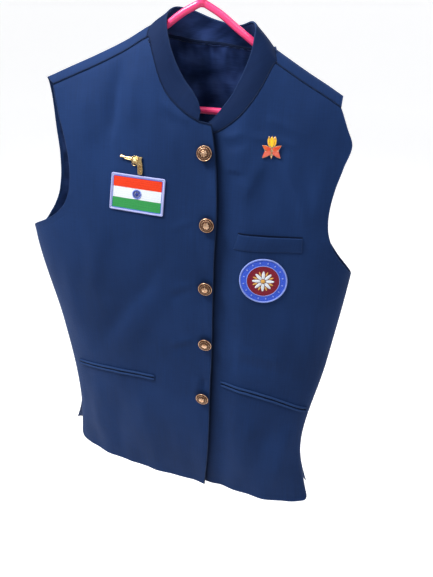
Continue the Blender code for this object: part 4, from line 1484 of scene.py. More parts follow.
# Folds as rows of a crest line's places, height, width and lean
FRONT_FOLDS = (
    # Shoulder and chest of the wearer's right front
    (((-11.0, -15.6), (-11.3, -18.5), (-11.7, -22.5), (-12.4, -28.0)), -0.42, 0.95, 0.25),
    (((-16.9, -19.6), (-16.7, -23.3), (-16.0, -29.0)), 0.26, 2.1),
    (((-9.2, -16.4), (-9.0, -21.0), (-9.2, -26.0)), 0.26, 1.25),
    (((-4.9, -20.2), (-3.4, -22.0), (-1.6, -23.1), (0.3, -23.9)), 0.17, 0.50),
    (((-5.2, -21.8), (-3.6, -23.4), (-1.6, -24.6)), -0.10, 0.75),
    # Chest of the wearer's left front
    (((3.4, -25.3), (5.2, -25.2), (7.2, -24.4)), 0.16, 0.45),
    (((3.8, -26.6), (5.8, -26.5), (8.2, -25.4)), -0.14, 0.60),
    (((7.0, -24.9), (10.8, -25.4), (15.0, -26.4)), 0.13, 0.50),
    (((8.4, -22.6), (12.0, -23.4), (16.0, -25.2)), 0.10, 0.60),
    (((10.4, -27.2), (8.8, -30.6), (7.0, -34.4)), 0.18, 1.00, 0.2),
    (((12.0, -27.4), (14.7, -32.4), (17.2, -37.8)), 0.26, 1.00, -0.2),
    (((11.2, -28.8), (10.6, -33.0), (9.8, -37.4)), -0.16, 1.60),
    (((18.4, -27.0), (17.8, -32.0), (18.2, -38.0)), 0.22, 1.30),
    # Long folds of the wearer's right front
    (((-3.6, -41.4), (-6.3, -47.2), (-11.6, -54.6), (-17.6, -63.8)), -0.28, 1.60, 0.2),
    (((-2.4, -45.2), (-5.2, -50.6), (-10.2, -57.6), (-15.6, -65.4)), 0.22, 1.80),
    (((-18.6, -42.6), (-20.4, -52.0), (-20.8, -64.0)), 0.30, 1.90),
    (((-13.6, -38.8), (-15.6, -46.0), (-17.0, -54.0)), 0.20, 1.70),
    (((-8.4, -57.1), (-7.0, -56.8), (-5.6, -56.9)), -0.09, 0.32),
    (((-8.0, -66.8), (-8.8, -74.0), (-9.8, -84.0)), 0.24, 1.90),
    (((-16.8, -68.4), (-18.4, -76.0), (-19.0, -85.5)), 0.30, 1.80),
    (((-13.0, -69.0), (-13.8, -77.0), (-14.6, -86.0)), -0.26, 1.60),
    # Pulls at the buttons
    (((1.0, -47.0), (-1.2, -47.7), (-3.6, -48.8)), 0.09, 0.60),
    (((0.8, -48.3), (-1.4, -49.2), (-3.6, -50.6)), -0.09, 0.60),
    (((1.2, -56.6), (-1.2, -57.4), (-3.8, -58.8)), 0.13, 0.50),
    (((1.0, -58.0), (-1.2, -58.9), (-3.4, -60.4)), -0.09, 0.60),
    (((1.0, -37.2), (-1.0, -37.8), (-3.2, -38.9)), 0.10, 0.50),
    (((2.5, -63.6), (2.4, -65.0), (2.4, -66.6)), -0.20, 0.34),
    (((1.5, -63.4), (1.3, -65.2), (0.9, -67.0)), 0.10, 0.50),
    (((2.5, -39.0), (2.9, -42.4), (2.6, -46.0)), 0.13, 1.00),
    (((2.5, -49.0), (2.9, -52.4), (2.7, -55.6)), 0.15, 1.00),
    (((2.2, -69.4), (2.4, -76.0), (2.0, -85.0)), 0.16, 1.40),
    # Long folds of the wearer's left front
    (((5.8, -57.4), (10.4, -58.2), (15.2, -59.3)), 0.14, 0.62),
    (((6.4, -59.4), (10.6, -60.4), (15.0, -61.2)), -0.12, 0.80),
    (((6.2, -49.6), (6.8, -58.0), (6.4, -66.0)), -0.22, 1.30),
    (((19.4, -44.0), (18.6, -54.0), (17.6, -63.0)), 0.30, 1.70),
    (((14.6, -49.4), (14.2, -56.0), (13.6, -63.0)), 0.18, 1.60),
    (((10.4, -68.0), (9.8, -75.0), (9.2, -85.0)), 0.26, 1.60),
    (((13.4, -68.8), (13.0, -76.0), (12.2, -85.5)), -0.18, 1.40),
    (((6.4, -66.6), (6.2, -75.0), (5.8, -85.0)), -0.22, 1.30),
    (((16.4, -69.6), (16.0, -77.0), (15.0, -85.5)), 0.26, 1.20),
)
BACK_FOLDS = (
    (((-15.0, -21.0), (-14.0, -34.0), (-12.0, -52.0)), 0.34, 2.60),
    (((-9.0, -20.0), (-9.6, -36.0), (-8.4, -56.0), (-8.8, -80.0)), -0.30, 1.90),
    (((-4.6, -26.0), (-4.2, -44.0), (-4.8, -66.0), (-5.6, -85.0)), 0.32, 2.10),
    (((1.4, -22.0), (1.0, -40.0), (1.8, -62.0), (1.4, -85.0)), -0.26, 1.70),
    (((7.0, -21.0), (6.4, -38.0), (7.6, -60.0), (7.0, -85.0)), 0.34, 2.20),
    (((13.2, -24.0), (12.4, -40.0), (13.8, -60.0), (13.0, -82.0)), -0.28, 1.90),
    (((-21.6, -34.0), (-17.0, -41.0), (-12.6, -50.0)), 0.24, 1.50, 0.2),
    (((-22.8, -40.0), (-19.0, -47.6), (-16.0, -57.0)), -0.22, 1.40),
    (((17.2, -36.0), (14.6, -42.6), (11.0, -50.0)), 0.22, 1.40),
    (((19.6, -44.0), (17.8, -54.0), (17.0, -66.0)), 0.26, 1.60),
    (((-19.8, -58.0), (-18.4, -70.0), (-18.8, -84.0)), 0.30, 1.70),
    (((-14.2, -62.0), (-13.4, -72.0), (-13.8, -85.0)), 0.24, 1.60),
    (((-7.6, -15.4), (-4.0, -17.0), (1.0, -17.6), (6.4, -17.0)), -0.16, 0.90),
    (((-7.0, -17.4), (-3.0, -19.2), (2.0, -19.6), (7.4, -18.6)), 0.14, 1.10),
)


# Cloth panels


@dataclass
class Panel:
    """One of the coat's large panels.

    Attributes:
        node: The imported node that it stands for.
        flat: Width and length of the rectangle that it is cut from, in metres.
        area: Area of its face, in square metres.
        sign: 1 on the back and -1 on the front.
        mitres: Whether its left and right borders are side seams with vents.
        is_under: Whether it lies behind the other front.
        thickness: Thickness of the cloth with its lining.
        facing_width: Width of the cloth facing inside its folded edges.
    """

    pattern: Pattern
    name: str = ""
    node: str = ""
    flat: tuple = (0.3, 0.7)
    area: float = 0.2
    sign: float = -1.0
    mitres: tuple = (True, True)
    is_under: bool = False
    thickness: float = 0.20
    facing_width: float = 2.2

    def places(self) -> tuple:
        """Grids of x, z and face; each panel has its own."""
        raise NotImplementedError

    def facing(self, z: Points) -> Points:
        """Width of the cloth facing at heights."""
        return self.facing_width + 0 * z

    def painted_shade_at(self, x: Points, z: Points) -> Points:
        """Painted shade of each place under something that is sewn on it or laps over it; none on a plain
        panel.
        """
        return 0 * x

    def seam_row(self, rows: int) -> int:
        """Row at which the side seam starts."""
        return rows - (self.pattern.count(3) - 1) - self.pattern.count(8)

    def seams(self, rows: int, columns: int) -> tuple:
        """Shares of seam along the left, right, top and bottom borders; the rest is folded edge.

        Args:
            rows: Number of rows of points.
            columns: Number of points in a row.

        Returns:
            The four borders' shares.
        """
        start, number = self.seam_row(rows), np.arange(rows)[:, None]
        side = ((number >= start) & (number < start + self.pattern.count(8))).astype(float)
        return side * self.mitres[0], side * self.mitres[1], np.ones((1, columns)), np.zeros((1, columns))

    def relief(self, grid: Points) -> tuple[Points, Points, Points]:
        """How seams and folded edges stand out from the panel, and the painted shade along its seams.

        Args:
            grid: The panel's points.

        Returns:
            Height of each point, its distance from the nearest folded edge, and its painted shade along the
            seams.
        """
        left, top = running(grid, 1), running(grid, 0)
        lengths = ((left, top), (left[:, -1:] - left, top), (top, left), (top[-1:] - top, left))
        height, shade = np.zeros(left.shape), np.zeros(left.shape)
        border = np.full(left.shape, FAR_FROM_EDGE)
        for number, ((away, along), seam) in enumerate(zip(lengths, self.seams(*left.shape))):
            ripple = np.sin(along * 4.6 + 1.3 * np.sin(along * 0.9 + number)) * np.exp(-away / 0.8)
            height += seam * (0.016 * bell(away, 0.60, 0.42) + 0.014 * ripple)
            # Painted shade along each seam.
            shade += seam * 0.8 * bell(away, 0, 0.13)
            turned = 0.035 * bell(away, 0, 0.75) - 0.010 * bell(away, 1.5, 0.35)
            height += (1 - seam) * (turned + 0.010 * np.sin(along * 2.7 + number) * np.exp(-away / 1.2))
            border = np.minimum(border, np.where(seam < 1, away, FAR_FROM_EDGE))
        return height, border, shade

    def grain(self, x: Points, z: Points, face: Points, border: Points) -> Points:
        """Place on the cloth: upright along the warp, level along the weft.

        Args:
            x: Sideways places.
            z: Heights.
            face: The face of each.
            border: Distance from the nearest folded edge.

        Returns:
            The grain attribute's grid.
        """
        form, low_z, half = self.pattern.form, -88.0, 80
        heights = np.linspace(low_z, -24.0, 65)[:, None]
        places = form.level_x(np.linspace(-1, 1, 2 * half + 1), heights, self.sign)
        lengths = running(form.point(places, heights, self.sign), 1)
        lengths -= lengths[:, half : half + 1]
        row = np.clip(z - low_z, 0, len(heights) - 1.001)
        turn = np.arcsin(form.across(x, z, face)) / (math.pi / 2)
        column = np.clip((turn + 1) * half, 0, 2 * half - 0.001)
        i, j = row.astype(int), column.astype(int)
        u, v = row - i, column - j
        low = lengths[i, j] * (1 - v) + lengths[i, j + 1] * v
        high = lengths[i + 1, j] * (1 - v) + lengths[i + 1, j + 1] * v
        drops = np.linspace(0, form.fold_reach, 400)
        extra = running(np.stack((drops, 6.0 * form.opening(drops)), -1)) - drops
        drop = np.clip(form.ridge_z(x) - z, 0, form.fold_reach)
        spare = np.interp(drop, drops, extra)
        wrapped = (self.sign > 0) & (face < 0)
        down = np.where(wrapped, -form.ridge_z(x) - extra[-1] - drop - spare, -z + spare - extra[-1])
        return np.stack((low * (1 - u) + high * u, down, border), -1)

    def build(self, wear: Wardrobe) -> Piece:
        """Make the panel.

        Args:
            wear: The finishes.

        Returns:
            The object.
        """
        x, z, face = self.places()
        form = self.pattern.form
        grid = form.cloth(x, z, face)
        if self.is_under:
            grid[..., 1] += form.under_step(x, z)
        height, border, shade = self.relief(grid)
        grid = grid - self.sign * Wall.normals(grid) * height[..., None]
        depths = self.sign * Wall.normals(grid)
        for is_mitred, column, way in zip(self.mitres, (0, -1), (1.0, -1.0)):
            if is_mitred:
                depths[self.seam_row(len(grid)) :, column] = (way, 0.0, 0.0)
        inside = (border >= self.facing(z))[:-1, :-1].astype(int)
        seams = tuple(seam.ravel() for seam in self.seams(*x.shape))
        # Painted shade of the seams and of whatever laps over the panel or is sewn on it.
        shade = np.clip(shade + self.painted_shade_at(x, z), 0, 1)
        wall = Wall(grid, self.thickness, depths, seams=seams, shade=shade)
        piece = wall.build(self.name, (wear.cloth, wear.satin), self.grain(x, z, face, border), inside)
        cut = dict(flat=self.flat, held="hung", rests_on=["hanger_moulding"], area=self.area)
        return settle(piece, "navy_cloth", self.node, **cut)


@dataclass
class OverFront(Panel):
    """The wearer's right front, which laps over the other."""

    name: str = "front_over_cloth"
    node: str = "front_over"
    flat: tuple = (0.345, 0.720)
    area: float = 0.1955
    mitres: tuple = (True, False)

    def places(self) -> tuple:
        """Grids of x, z and face."""
        return self.pattern.over_front()

    def painted_shade_at(self, x: Points, z: Points) -> Points:
        """Painted shade: dark rims under the buttons, and a dark line on the rim of the front edge, which
        turns away from the light.

        Args:
            x: Sideways places.
            z: Heights.

        Returns:
            The painted shade, from 0 to 1.
        """
        edge_x, edge_z, _ = np.array(self.pattern.over_edge[::-1]).T
        total = bell(x, np.interp(z, edge_z, edge_x), 0.13)
        for button_x, button_z in Buttons.places:
            total += 0.55 * bell(np.hypot(x - button_x, z - button_z), 0.9, 0.42)
        return total


@dataclass
class UnderFront(Panel):
    """The wearer's left front, whose edge is hidden under the other."""

    name: str = "front_under_cloth"
    node: str = "front_under"
    flat: tuple = (0.300, 0.700)
    area: float = 0.1560
    mitres: tuple = (False, True)
    is_under: bool = True

    def places(self) -> tuple:
        """Grids of x, z and face."""
        return self.pattern.under_front()

    def painted_shade_at(self, x: Points, z: Points) -> Points:
        """Painted shadow: the dark line under the other front's edge.

        Args:
            x: Sideways places.
            z: Heights.

        Returns:
            The painted shade, from 0 to 1.
        """
        edge_x, edge_z, _ = np.array(self.pattern.over_edge[::-1]).T
        away = np.maximum(x - np.interp(z, edge_z, edge_x), 0)
        return 0.85 * np.exp(-away / 0.30) + 0.25 * bell(away, 0, 1.6)


@dataclass
class BackPanel(Panel):
    """The back, in one piece with the strips that wrap forward over the shoulders."""

    name: str = "back_cloth"
    node: str = "back"
    flat: tuple = (0.600, 0.770)
    area: float = 0.3470
    sign: float = 1.0

    def places(self) -> tuple:
        """Grids of x, z and face."""
        return self.pattern.back()

    def facing(self, z: Points) -> Points:
        """Width of the cloth facing at heights: narrow at the armholes."""
        return np.where(z > self.pattern.pits[0] - 4.0, 0.5, self.facing_width)

    def painted_shade_at(self, x: Points, z: Points) -> Points:
        """Takes the painted seam shade off the neck corner, which stands against the light."""
        return -1.5 * bell(x, 10.1, 0.6) * bell(z, -14.2, 0.6)


@dataclass
class BackLining:
    """The satin half lining of the back, which shows in the neck and the armholes."""

    pattern: Pattern
    tuck: float = 0.045
    least_root: float = 0.65
    last_row: int = 16
    gap: float = 0.28
    thickness: float = 0.08

    def build(self, wear: Wardrobe) -> Piece:
        """Make the lining with its soft crumples.

        Args:
            wear: The finishes.

        Returns:
            The object.
        """
        form, k = self.pattern.form, self.pattern.fineness
        places = np.stack(self.pattern.back(), -1)[:, 2 * k : -2 * k]
        turn, root = form.to_fold(places.reshape(-1, 3), True).T.reshape(2, *places.shape[:2])
        first, last = np.maximum(root[0] + self.tuck, self.least_root), root[self.last_row * k]
        roots = first + (last - first) * np.linspace(0, 1, (self.last_row - 2) * k)[:, None]
        turns = np.stack([np.interp(*columns) for columns in zip(roots.T, root.T, turn.T)], -1)
        x, z, face = form.from_fold(turns, roots, True)
        grid = form.cloth(x, z, face)
        depths, down, across = Wall.normals(grid), running(grid, 0), running(grid, 1)
        crumple = 0.07 * np.sin(x * 0.9 + 1.4 * np.sin(z * 0.33)) * np.sin(z * 0.41 + 0.8 * np.sin(x * 0.37))
        crumple += 0.045 * np.sin(x * 2.1 + 0.9 * z + np.sin(z * 0.9)) + 0.03 * np.sin(1.7 * z - 1.3 * x)
        gathers = 0.085 * np.sin(across * 5.2 + 1.6 * np.sin(across * 0.8)) * np.exp(-down / 1.9)
        pleat = 0.30 * bell(x, 0.8, 0.55 + 0.05 * down) * np.exp(-down / 16.0)
        lift = np.maximum(self.gap + 0.13 + (crumple + gathers) * eased(down / 0.6) + pleat, self.gap - 0.02)
        wall = Wall(grid + depths * lift[..., None], self.thickness, depths)
        piece = wall.build("back_lining_satin", (wear.satin,))
        cut = dict(flat=(0.475, 0.440), held="hung", rests_on=["back_cloth"], area=0.1720)
        return settle(piece, "satin_lining", "back_lining", **cut)


@dataclass
class Collar:
    """The band collar, which stands on the neck seam and leans in like a funnel.

    Attributes:
        crown: Top edge's x, y and z above each mark of the neck seam.
        thickness: Thickness of the stiffened band.
        foot: Height of its foot above the seam.
        bow: How far it is rounded outwards.
    """

    pattern: Pattern
    crown: tuple = (
        (1.0, -4.7, -22.1), (0.6, -4.4, -20.9), (-0.2, -4.1, -19.7), (-1.3, -3.7, -18.5),
        (-2.4, -3.3, -16.9), (-3.5, -2.6, -14.8), (-4.2, -1.8, -13.0), (-4.6, -0.9, -11.5),
        (-4.9, 0.7, -10.3), (-4.7, 2.4, -9.8), (-2.9, 3.7, -10.0), (1.0, 4.0, -11.3),
        (4.7, 3.0, -11.8), (6.5, 1.4, -11.2), (7.2, -0.5, -11.3), (7.4, -1.8, -12.8),
        (7.1, -2.5, -14.8), (6.5, -3.0, -16.6), (5.8, -3.5, -18.3), (5.0, -3.9, -19.9),
        (4.0, -4.2, -21.3), (2.9, -4.4, -22.7), (1.3, -4.5, -24.3),
    )
    thickness: float = 0.24
    foot: float = -0.03
    bow: float = 0.14
    rows: int = 22

    def crowns(self, feet: Points) -> Points:
        """Points of the top edge above the points of the neck seam.

        Args:
            feet: Points of the neck seam.

        Returns:
            The points above them.
        """
        places = running(feet)
        stations = running(self.pattern.form.point(*np.array(self.pattern.neck, float).T))
        return Curve(stations * places[-1] / stations[-1], self.crown)(places)

    def build(self, wear: Wardrobe) -> Piece:
        """Make the collar.

        Args:
            wear: The finishes.

        Returns:
            The object.
        """
        feet = self.pattern.neck_seam()
        crown = self.crowns(feet)
        start = feet + unit(crown - feet) * self.foot
        band = np.linspace(0, 1, self.rows)[:, None]
        grid = start[None] + (crown - start)[None] * band[..., None]
        along = running(feet)[None]
        swell = self.bow * np.sin(math.pi * band) + 0.05 * bell(band, 0.93, 0.05)
        pucker = 0.018 * np.sin(along * 4.4 + 1.2 * np.sin(along * 0.7)) * np.exp(-band * 5)
        wave = 0.05 * np.sin(along * 0.55 + 0.7) * band
        grid = grid + Wall.normals(grid) * (swell + pucker + wave)[..., None]
        grain, rise = Wall.plain_grain(grid), running(grid, 0)
        # Distance from the top edge, where the cloth is lightened by rubbing and a painted highlight.
        grain[..., 2] = rise[-1:] - rise
        inside = np.ones(np.array(grid.shape[:2]) - 1, int)
        inside[-2:] = 0
        # Painted shade along the collar's foot, where it stands on the neck seam.
        shade = 0.8 * bell(rise, 0, 0.16)
        wall = Wall(grid, self.thickness, -Wall.normals(grid), 6, (0.0, 0.0, 1.0, 0.0), shade)
        piece = wall.build("collar_band", (wear.band, wear.satin), grain, inside)
        cut = dict(flat=(0.545, 0.050), held="folded", rests_on=["back_cloth"], area=0.0160)
        return settle(piece, "navy_cloth", "collar", **cut)


@dataclass
class SeamTapes:
    """Cloth tapes that close the neck and shoulder seams from inside.

    Attributes:
        reach: How far a shoulder tape reaches to either side of its seam.
        neck_reach: The same of the neck tape.
        depth: How far it lies behind the cloth's outer face.
        thickness: Its thickness.
    """

    pattern: Pattern
    reach: float = 0.50
    neck_reach: float = 0.25
    depth: float = 0.23
    thickness: float = 0.05
    neck_middle: tuple = (1.5, 1.0, -17.0)

    def shoulder(self, first: float, last: float) -> Points:
        """Grid of a shoulder seam's tape, from one x to another.

        Args:
            first: Where it starts.
            last: Where it ends.

        Returns:
            The grid.
        """
        form, offsets = self.pattern.form, np.linspace(-self.reach, self.reach, 9)
        x, drop = np.meshgrid(np.linspace(first, last, 80), self.pattern.seam_drop + offsets)
        z = form.ridge_z(x) - drop
        return form.cloth(x, z, -1.0) - form.slope(form.point, x, z, -1.0) * self.depth

    def neck(self) -> Points:
        """Grid of the neck seam's tape, which bends from the coat's body up into the collar.

        Returns:
            The points of its outer face.
        """
        feet = self.pattern.neck_seam()
        inward = unit((np.array(self.neck_middle) - feet) * (1, 1, 0))
        around = 5 * self.pattern.fineness
        window = np.ones(2 * around + 1) / (2 * around + 1)

        def evened(line: Points) -> Points:
            """A line of vectors averaged along itself."""
            padded = np.pad(line, ((around, around), (0, 0)), "edge")
            return np.stack([np.convolve(column, window, "valid") for column in padded.T], -1)

        rise = unit(evened(unit(Collar(self.pattern).crowns(feet) - feet)))
        into = unit(np.cross(rise, unit(evened(np.gradient(feet, axis=0)))))
        into = into * np.sign(np.sum(into * inward, -1))[:, None]
        share = np.linspace(-1, 1, 9)[:, None, None]
        below = unit(np.array((0.0, 0.0, -1.0)) - into * 0.35)
        arm = np.where(share > 0, rise[None] * 0.5, below[None]) * np.abs(share) * self.neck_reach
        pucker = 0.03 * np.sin(running(feet) * 5.2)[None, :, None] * (1 - share)
        return feet[None] + arm + into[None] * (self.depth + 0.14 - 0.10 * share + pucker)

    def build(self, wear: Wardrobe) -> list:
        """Make all the tapes.

        Args:
            wear: The finishes.

        Returns:
            The objects.
        """
        grids = {
            "neck_tape": self.neck(),
            "shoulder_tape_right": self.shoulder(-21.7, -7.0),
            "shoulder_tape_left": self.shoulder(10.0, 19.4),
        }
        pieces = []
        for name, grid in grids.items():
            # The tapes take the very dark tape cloth, a painted shade in the neck and shoulder seams.
            piece = Wall(grid, self.thickness, None, 3).build(name, (wear.tape,))
            length, width = float(running(grid[4])[-1]) * CM, float(running(grid, 0)[-1].mean()) * CM
            cut = dict(flat=(length, max(width, 0.010)), held="folded", rests_on=["back_cloth"])
            pieces.append(settle(piece, "navy_trim", area=length * width, **cut))
        return pieces


# Pockets


def corner_blend(corners: tuple, over: Points, down: Points) -> list:
    """Places between four corners, clockwise from the top left, at shares of the way over and down."""
    ends = ((a + (b - a) * over, d + (c - d) * over) for a, b, c, d in zip(*corners))
    return [top * (1 - down) + foot * down for top, foot in ends]


@dataclass
class BreastWelt:
    """The breast pocket's welt: a folded strip whose top edge stands off the chest, over a dark strip of
    painted shade in its mouth.
    """

    form: Form
    corners: tuple = ((7.0, -38.6), (16.1, -38.8), (16.2, -41.0), (6.4, -41.0))
    thickness: float = 0.13
    gape: float = 0.20
    mouth: tuple = (0.20, -0.02)

    def build(self, wear: Wardrobe) -> list:
        """Make the welt and a dark strip of painted shade in its mouth.

        Args:
            wear: The finishes.

        Returns:
            The objects.
        """
        down, over = np.meshgrid(np.linspace(0, 1, 34), np.linspace(0, 1, 110), indexing="ij")
        gape = self.gape * eased(1 - down) * np.sin(math.pi * np.clip(over, 0.02, 0.98)) ** 0.6
        ends = bell(over, 0, 0.02) + bell(1 - over, 0, 0.02)
        waves = np.sin(over * 31 + 1.4 * np.sin(over * 9))
        swell = 0.05 * np.sin(math.pi * down) + 0.012 * waves * (1 - down)
        lift = 0.03 + self.thickness + gape + swell - 0.05 * np.maximum(ends, bell(1 - down, 0, 0.06))
        grid = self.form.front(*corner_blend(self.corners, over, down), lift)
        strip = Wall(grid, self.thickness).build("breast_welt_strip", (wear.cloth,))
        # A dark strip of the tape cloth in the welt's mouth: painted shade.
        drop, over = np.meshgrid(np.linspace(*self.mouth, 5), np.linspace(0, 1, 60), indexing="ij")
        x, z = corner_blend(self.corners, over, 0 * over)
        slit = Wall(self.form.front(x, z + drop, 0.05), 0.04, None, 2).build("breast_welt_slit", (wear.tape,))
        cut = dict(held="folded", rests_on=["front_under_cloth"])
        return [
            settle(strip, "navy_trim", "breast_welt", flat=(0.100, 0.026), area=0.0023, **cut),
            settle(slit, "satin_lining", flat=(0.091, 0.010), area=0.0003, **cut),
        ]


@dataclass
class JetPocket:
    """A lower pocket: two rolled lips that close on a slit, tacked at both ends.

    Attributes:
        form: The coat's surface.
        side: Name of the side in the picture.
        panel: Name of the piece that the pocket is cut into.
        start: Left end of the slit.
        end: Right end of the slit.
        bow: Rise of its middle over the line between its ends.
        tack: Half the length of a tack.
    """

    form: Form
    side: str
    panel: str
    start: tuple
    end: tuple
    bow: float
    height: float = 0.37
    thickness: float = 0.22
    slit: float = 0.26
    tack: float = 0.46

    def line(self, over: Points, rise: Any) -> tuple[Points, Points]:
        """Places along the slit, or so far above it."""
        x, z = (first + (last - first) * over for first, last in zip(self.start, self.end))
        return x, z + rise + self.bow * np.sin(math.pi * over)

    def lip(self, lip: Lip, wear: Wardrobe) -> Piece:
        """Make one lip.

        Args:
            lip: Which of the two.
            wear: The finishes.

        Returns:
            The object.
        """
        over = np.linspace(0, 1, 150)
        sag = 0.07 * np.sin(math.pi * over) + 0.012 * np.sin(over * 37 + lip.value)
        x, z = self.line(over, lip.value * (self.height + self.slit) / 2)
        z = z - sag * (0.9 if lip is Lip.LOWER else 0.3)
        path = self.form.front(x, z, self.thickness * 0.52)
        ends = (np.minimum(eased(over / 0.035), eased((1 - over) / 0.035)) * 0.45 + 0.55)[:, None]

        def section(along: Points, angles: Points) -> tuple[Points, Points]:
            """Width and height of the rolled lip, thinner at its ends."""
            wide = np.sign(np.cos(angles)) * np.abs(np.cos(angles)) ** 0.8 * self.height / 2
            return wide * ends, np.sin(angles) * self.thickness * (0.55 + 0.03 * np.sin(along * 2.3)) * ends

        name = f"{self.side}_{lip.name.lower()}"
        # The lips take the lighter cloth, a painted highlight.
        piece = tube(f"pocket_{name}", path, self.form.off(x, z), section, 20, False, wear.lip)
        length = float(running(path)[-1]) * CM
        cut = dict(flat=(length, 0.012), held="folded", rests_on=[self.panel], area=length * 0.0050)
        return settle(piece, "navy_trim", f"jet_{name}", **cut)

    def slit_shade_strip(self, wear: Wardrobe) -> Piece:
        """Make the dark strip in the slit: painted shade inside the pocket.

        Args:
            wear: The finishes.

        Returns:
            The object.
        """
        rise, over = np.linspace(1, -1, 5)[:, None] * self.slit * 0.9, np.linspace(0.01, 0.99, 90)
        grid = self.form.front(*self.line(over, rise), 0.09)
        # Painted shade: a strip of the very dark tape cloth between the lips.
        piece = Wall(grid, 0.04, None, 2).build(f"pocket_{self.side}_slit", (wear.tape,))
        length = float(running(grid[2])[-1]) * CM
        cut = dict(flat=(length, 0.010), held="folded", rests_on=[self.panel], area=length * 0.0048)
        return settle(piece, "satin_lining", **cut)

    def build(self, wear: Wardrobe) -> list:
        """Make both lips, the slit and the tacks at its ends.

        Args:
            wear: The finishes.

        Returns:
            The objects.
        """
        pieces = [self.lip(Lip.UPPER, wear), self.lip(Lip.LOWER, wear), self.slit_shade_strip(wear)]

        def section(along: Points, angles: Points) -> tuple[Points, Points]:
            """Width and height of a tack wound with thread."""
            ridge = 1 + 0.12 * np.sin(along * 60)
            return np.cos(angles) * 0.085 * ridge, np.sin(angles) * 0.075 * ridge

        for letter, (x, middle) in (("a", self.start), ("b", self.end)):
            z = middle + np.linspace(-self.tack, self.tack, 26)
            path, ups = self.form.front(x, z, 0.10), self.form.off(np.full(26, x), z)
            tack = tube(f"pocket_{self.side}_tack_{letter}", path, ups, section, 10, False, wear.cloth)
            pieces.append(settle(tack, "navy_trim"))
        return pieces


# Patches


@dataclass
class FlagPatch:
    """The sewn-on patch with a country's flag: three bands and a spoked wheel.

    Attributes:
        corners: The patch's corners, clockwise from the top left.
        trim: Share by which the stitched edge lies inside the corners, over and down.
        soft: Share of the width over which the corners are rounded.
    """

    form: Form
    corners: tuple = ((-11.8, -31.3), (-3.6, -31.5), (-4.0, -36.9), (-12.3, -36.6))
    ground: float = 0.10
    size: tuple = (8.3, 5.45)
    trim: tuple = (0.012, 0.018)
    soft: float = 0.018

    def line(self, over: Any, down: Any, lift: float) -> tuple[Points, Points]:
        """Points at shares of the way over and down, so far off the coat's cloth, and directions off it."""
        x, z = corner_blend(self.corners, *level(over, down))
        return self.form.front(x, z, lift), self.form.off(x, z)

    def block(self, name: str, box: tuple, lift: float, thickness: float, material: Material) -> Piece:
        """Make a block of fill stitching.

        Args:
            name: Its name.
            box: First and last shares over and down.
            lift: Height of its face.
            thickness: Its thickness.
            material: Its thread.

        Returns:
            The object.
        """
        over, down = np.meshgrid(np.linspace(*box[:2], 120), np.linspace(*box[2:], 26), indexing="xy")
        grid = self.form.front(*corner_blend(self.corners, over, down), lift)
        pillow = 0.012 * np.sin(np.linspace(0, math.pi, 26))[:, None]
        rows = 0.005 * np.sin(np.linspace(0, 60 * math.pi, 120))[None]
        grid = grid + Wall.normals(grid) * (pillow + rows)[..., None]
        return Wall(grid, thickness, None, 3).build(name, (material,))

    def wheel(self, wear: Wardrobe, top: float) -> list:
        """Make the wheel: a pale ring, and a rim, hub and spokes in navy.

        Args:
            wear: The finishes.
            top: Height of the wheel's foot.

        Returns:
            The objects.
        """
        pieces = []
        width, height = self.size
        around = circle(160)
        for name, radius, size, lift, material in (
            ("halo", 0.66, 0.060, 0.085, wear.sky),
            ("rim", 0.52, 0.050, 0.095, wear.navy),
            ("hub", 0.07, 0.070, 0.11, wear.navy),
        ):
            over, down = 0.5 + radius * np.cos(around) / width, 0.5 + radius * np.sin(around) / height
            pieces.append(cord(f"wheel_{name}", *self.line(over, down, top + lift), size, 0.09, 8, material))
        reach = np.linspace(0.10, 0.50, 7)
        for angle in circle(24):
            over, down = 0.5 + reach * math.cos(angle) / width, 0.5 + reach * math.sin(angle) / height
            path, ups = self.line(over, down, top + 0.095)
            pieces.append(tube("spoke", path, ups, oval(0.022, 0.022), 6, False, wear.navy))
        return pieces

    def outline(self, inset: float, lift: float) -> tuple[Points, Points]:
        """Closed line round the patch with softened corners.

        Args:
            inset: Share that it keeps inside the stitched edge.
            lift: Height above the cloth.

        Returns:
            Its points and the directions off the cloth.
        """
        low, drop = self.trim[0] + inset, self.trim[1] + inset * 1.5
        corners = []
        for side, end, start in ((1, -1, -90), (1, 1, 0), (-1, 1, 90), (-1, -1, 180)):
            for angle in np.radians(np.linspace(start, start + 90, 6)):
                x = 0.5 + side * (0.5 - low - self.soft) + self.soft * math.cos(angle)
                y = 0.5 + end * (0.5 - drop - self.soft * 1.5) + self.soft * 1.5 * math.sin(angle)
                corners.append((x, y))
        knots = np.array(corners + corners[:1])
        lengths = running(knots * np.array(self.size))
        steps = np.linspace(0, lengths[-1], 1100, endpoint=False)
        return self.line(*(np.interp(steps, lengths, column) for column in knots.T), lift)

    def build(self, wear: Wardrobe) -> list:
        """Make the patch.

        Args:
            wear: The finishes.

        Returns:
            Its ground and its stitching.
        """
        top = 0.03 + self.ground
        (left, first), (right, last) = self.trim, (1 - share for share in self.trim)
        ground = self.block("flag_patch_cloth", (left, right, first, last), top, self.ground, wear.white)
        pieces = [
            self.block("saffron", (0.045, 0.955, 0.070, 0.350), top + 0.035, 0.05, wear.saffron),
            self.block("green", (0.045, 0.955, 0.645, 0.930), top + 0.035, 0.05, wear.green),
            self.block("white", (0.045, 0.955, 0.352, 0.643), top + 0.028, 0.045, wear.white),
            cord("edge", *self.outline(0.0, top), 0.115, 0.075, 10, wear.lavender),
            cord("piping", *self.outline(0.030, top + 0.03), 0.035, 0.16, 10, wear.royal),
            *self.wheel(wear, self.ground),
        ]
        stitching = settle(join_pieces("flag_stitching", pieces), "flag_thread")
        cut = dict(flat=(0.083, 0.056), held="laid", rests_on=["front_over_cloth"])
        cut["with_pieces"] = ["flag_stitching"]
        return [settle(ground, "flag_thread", "flag_patch", **cut), stitching]


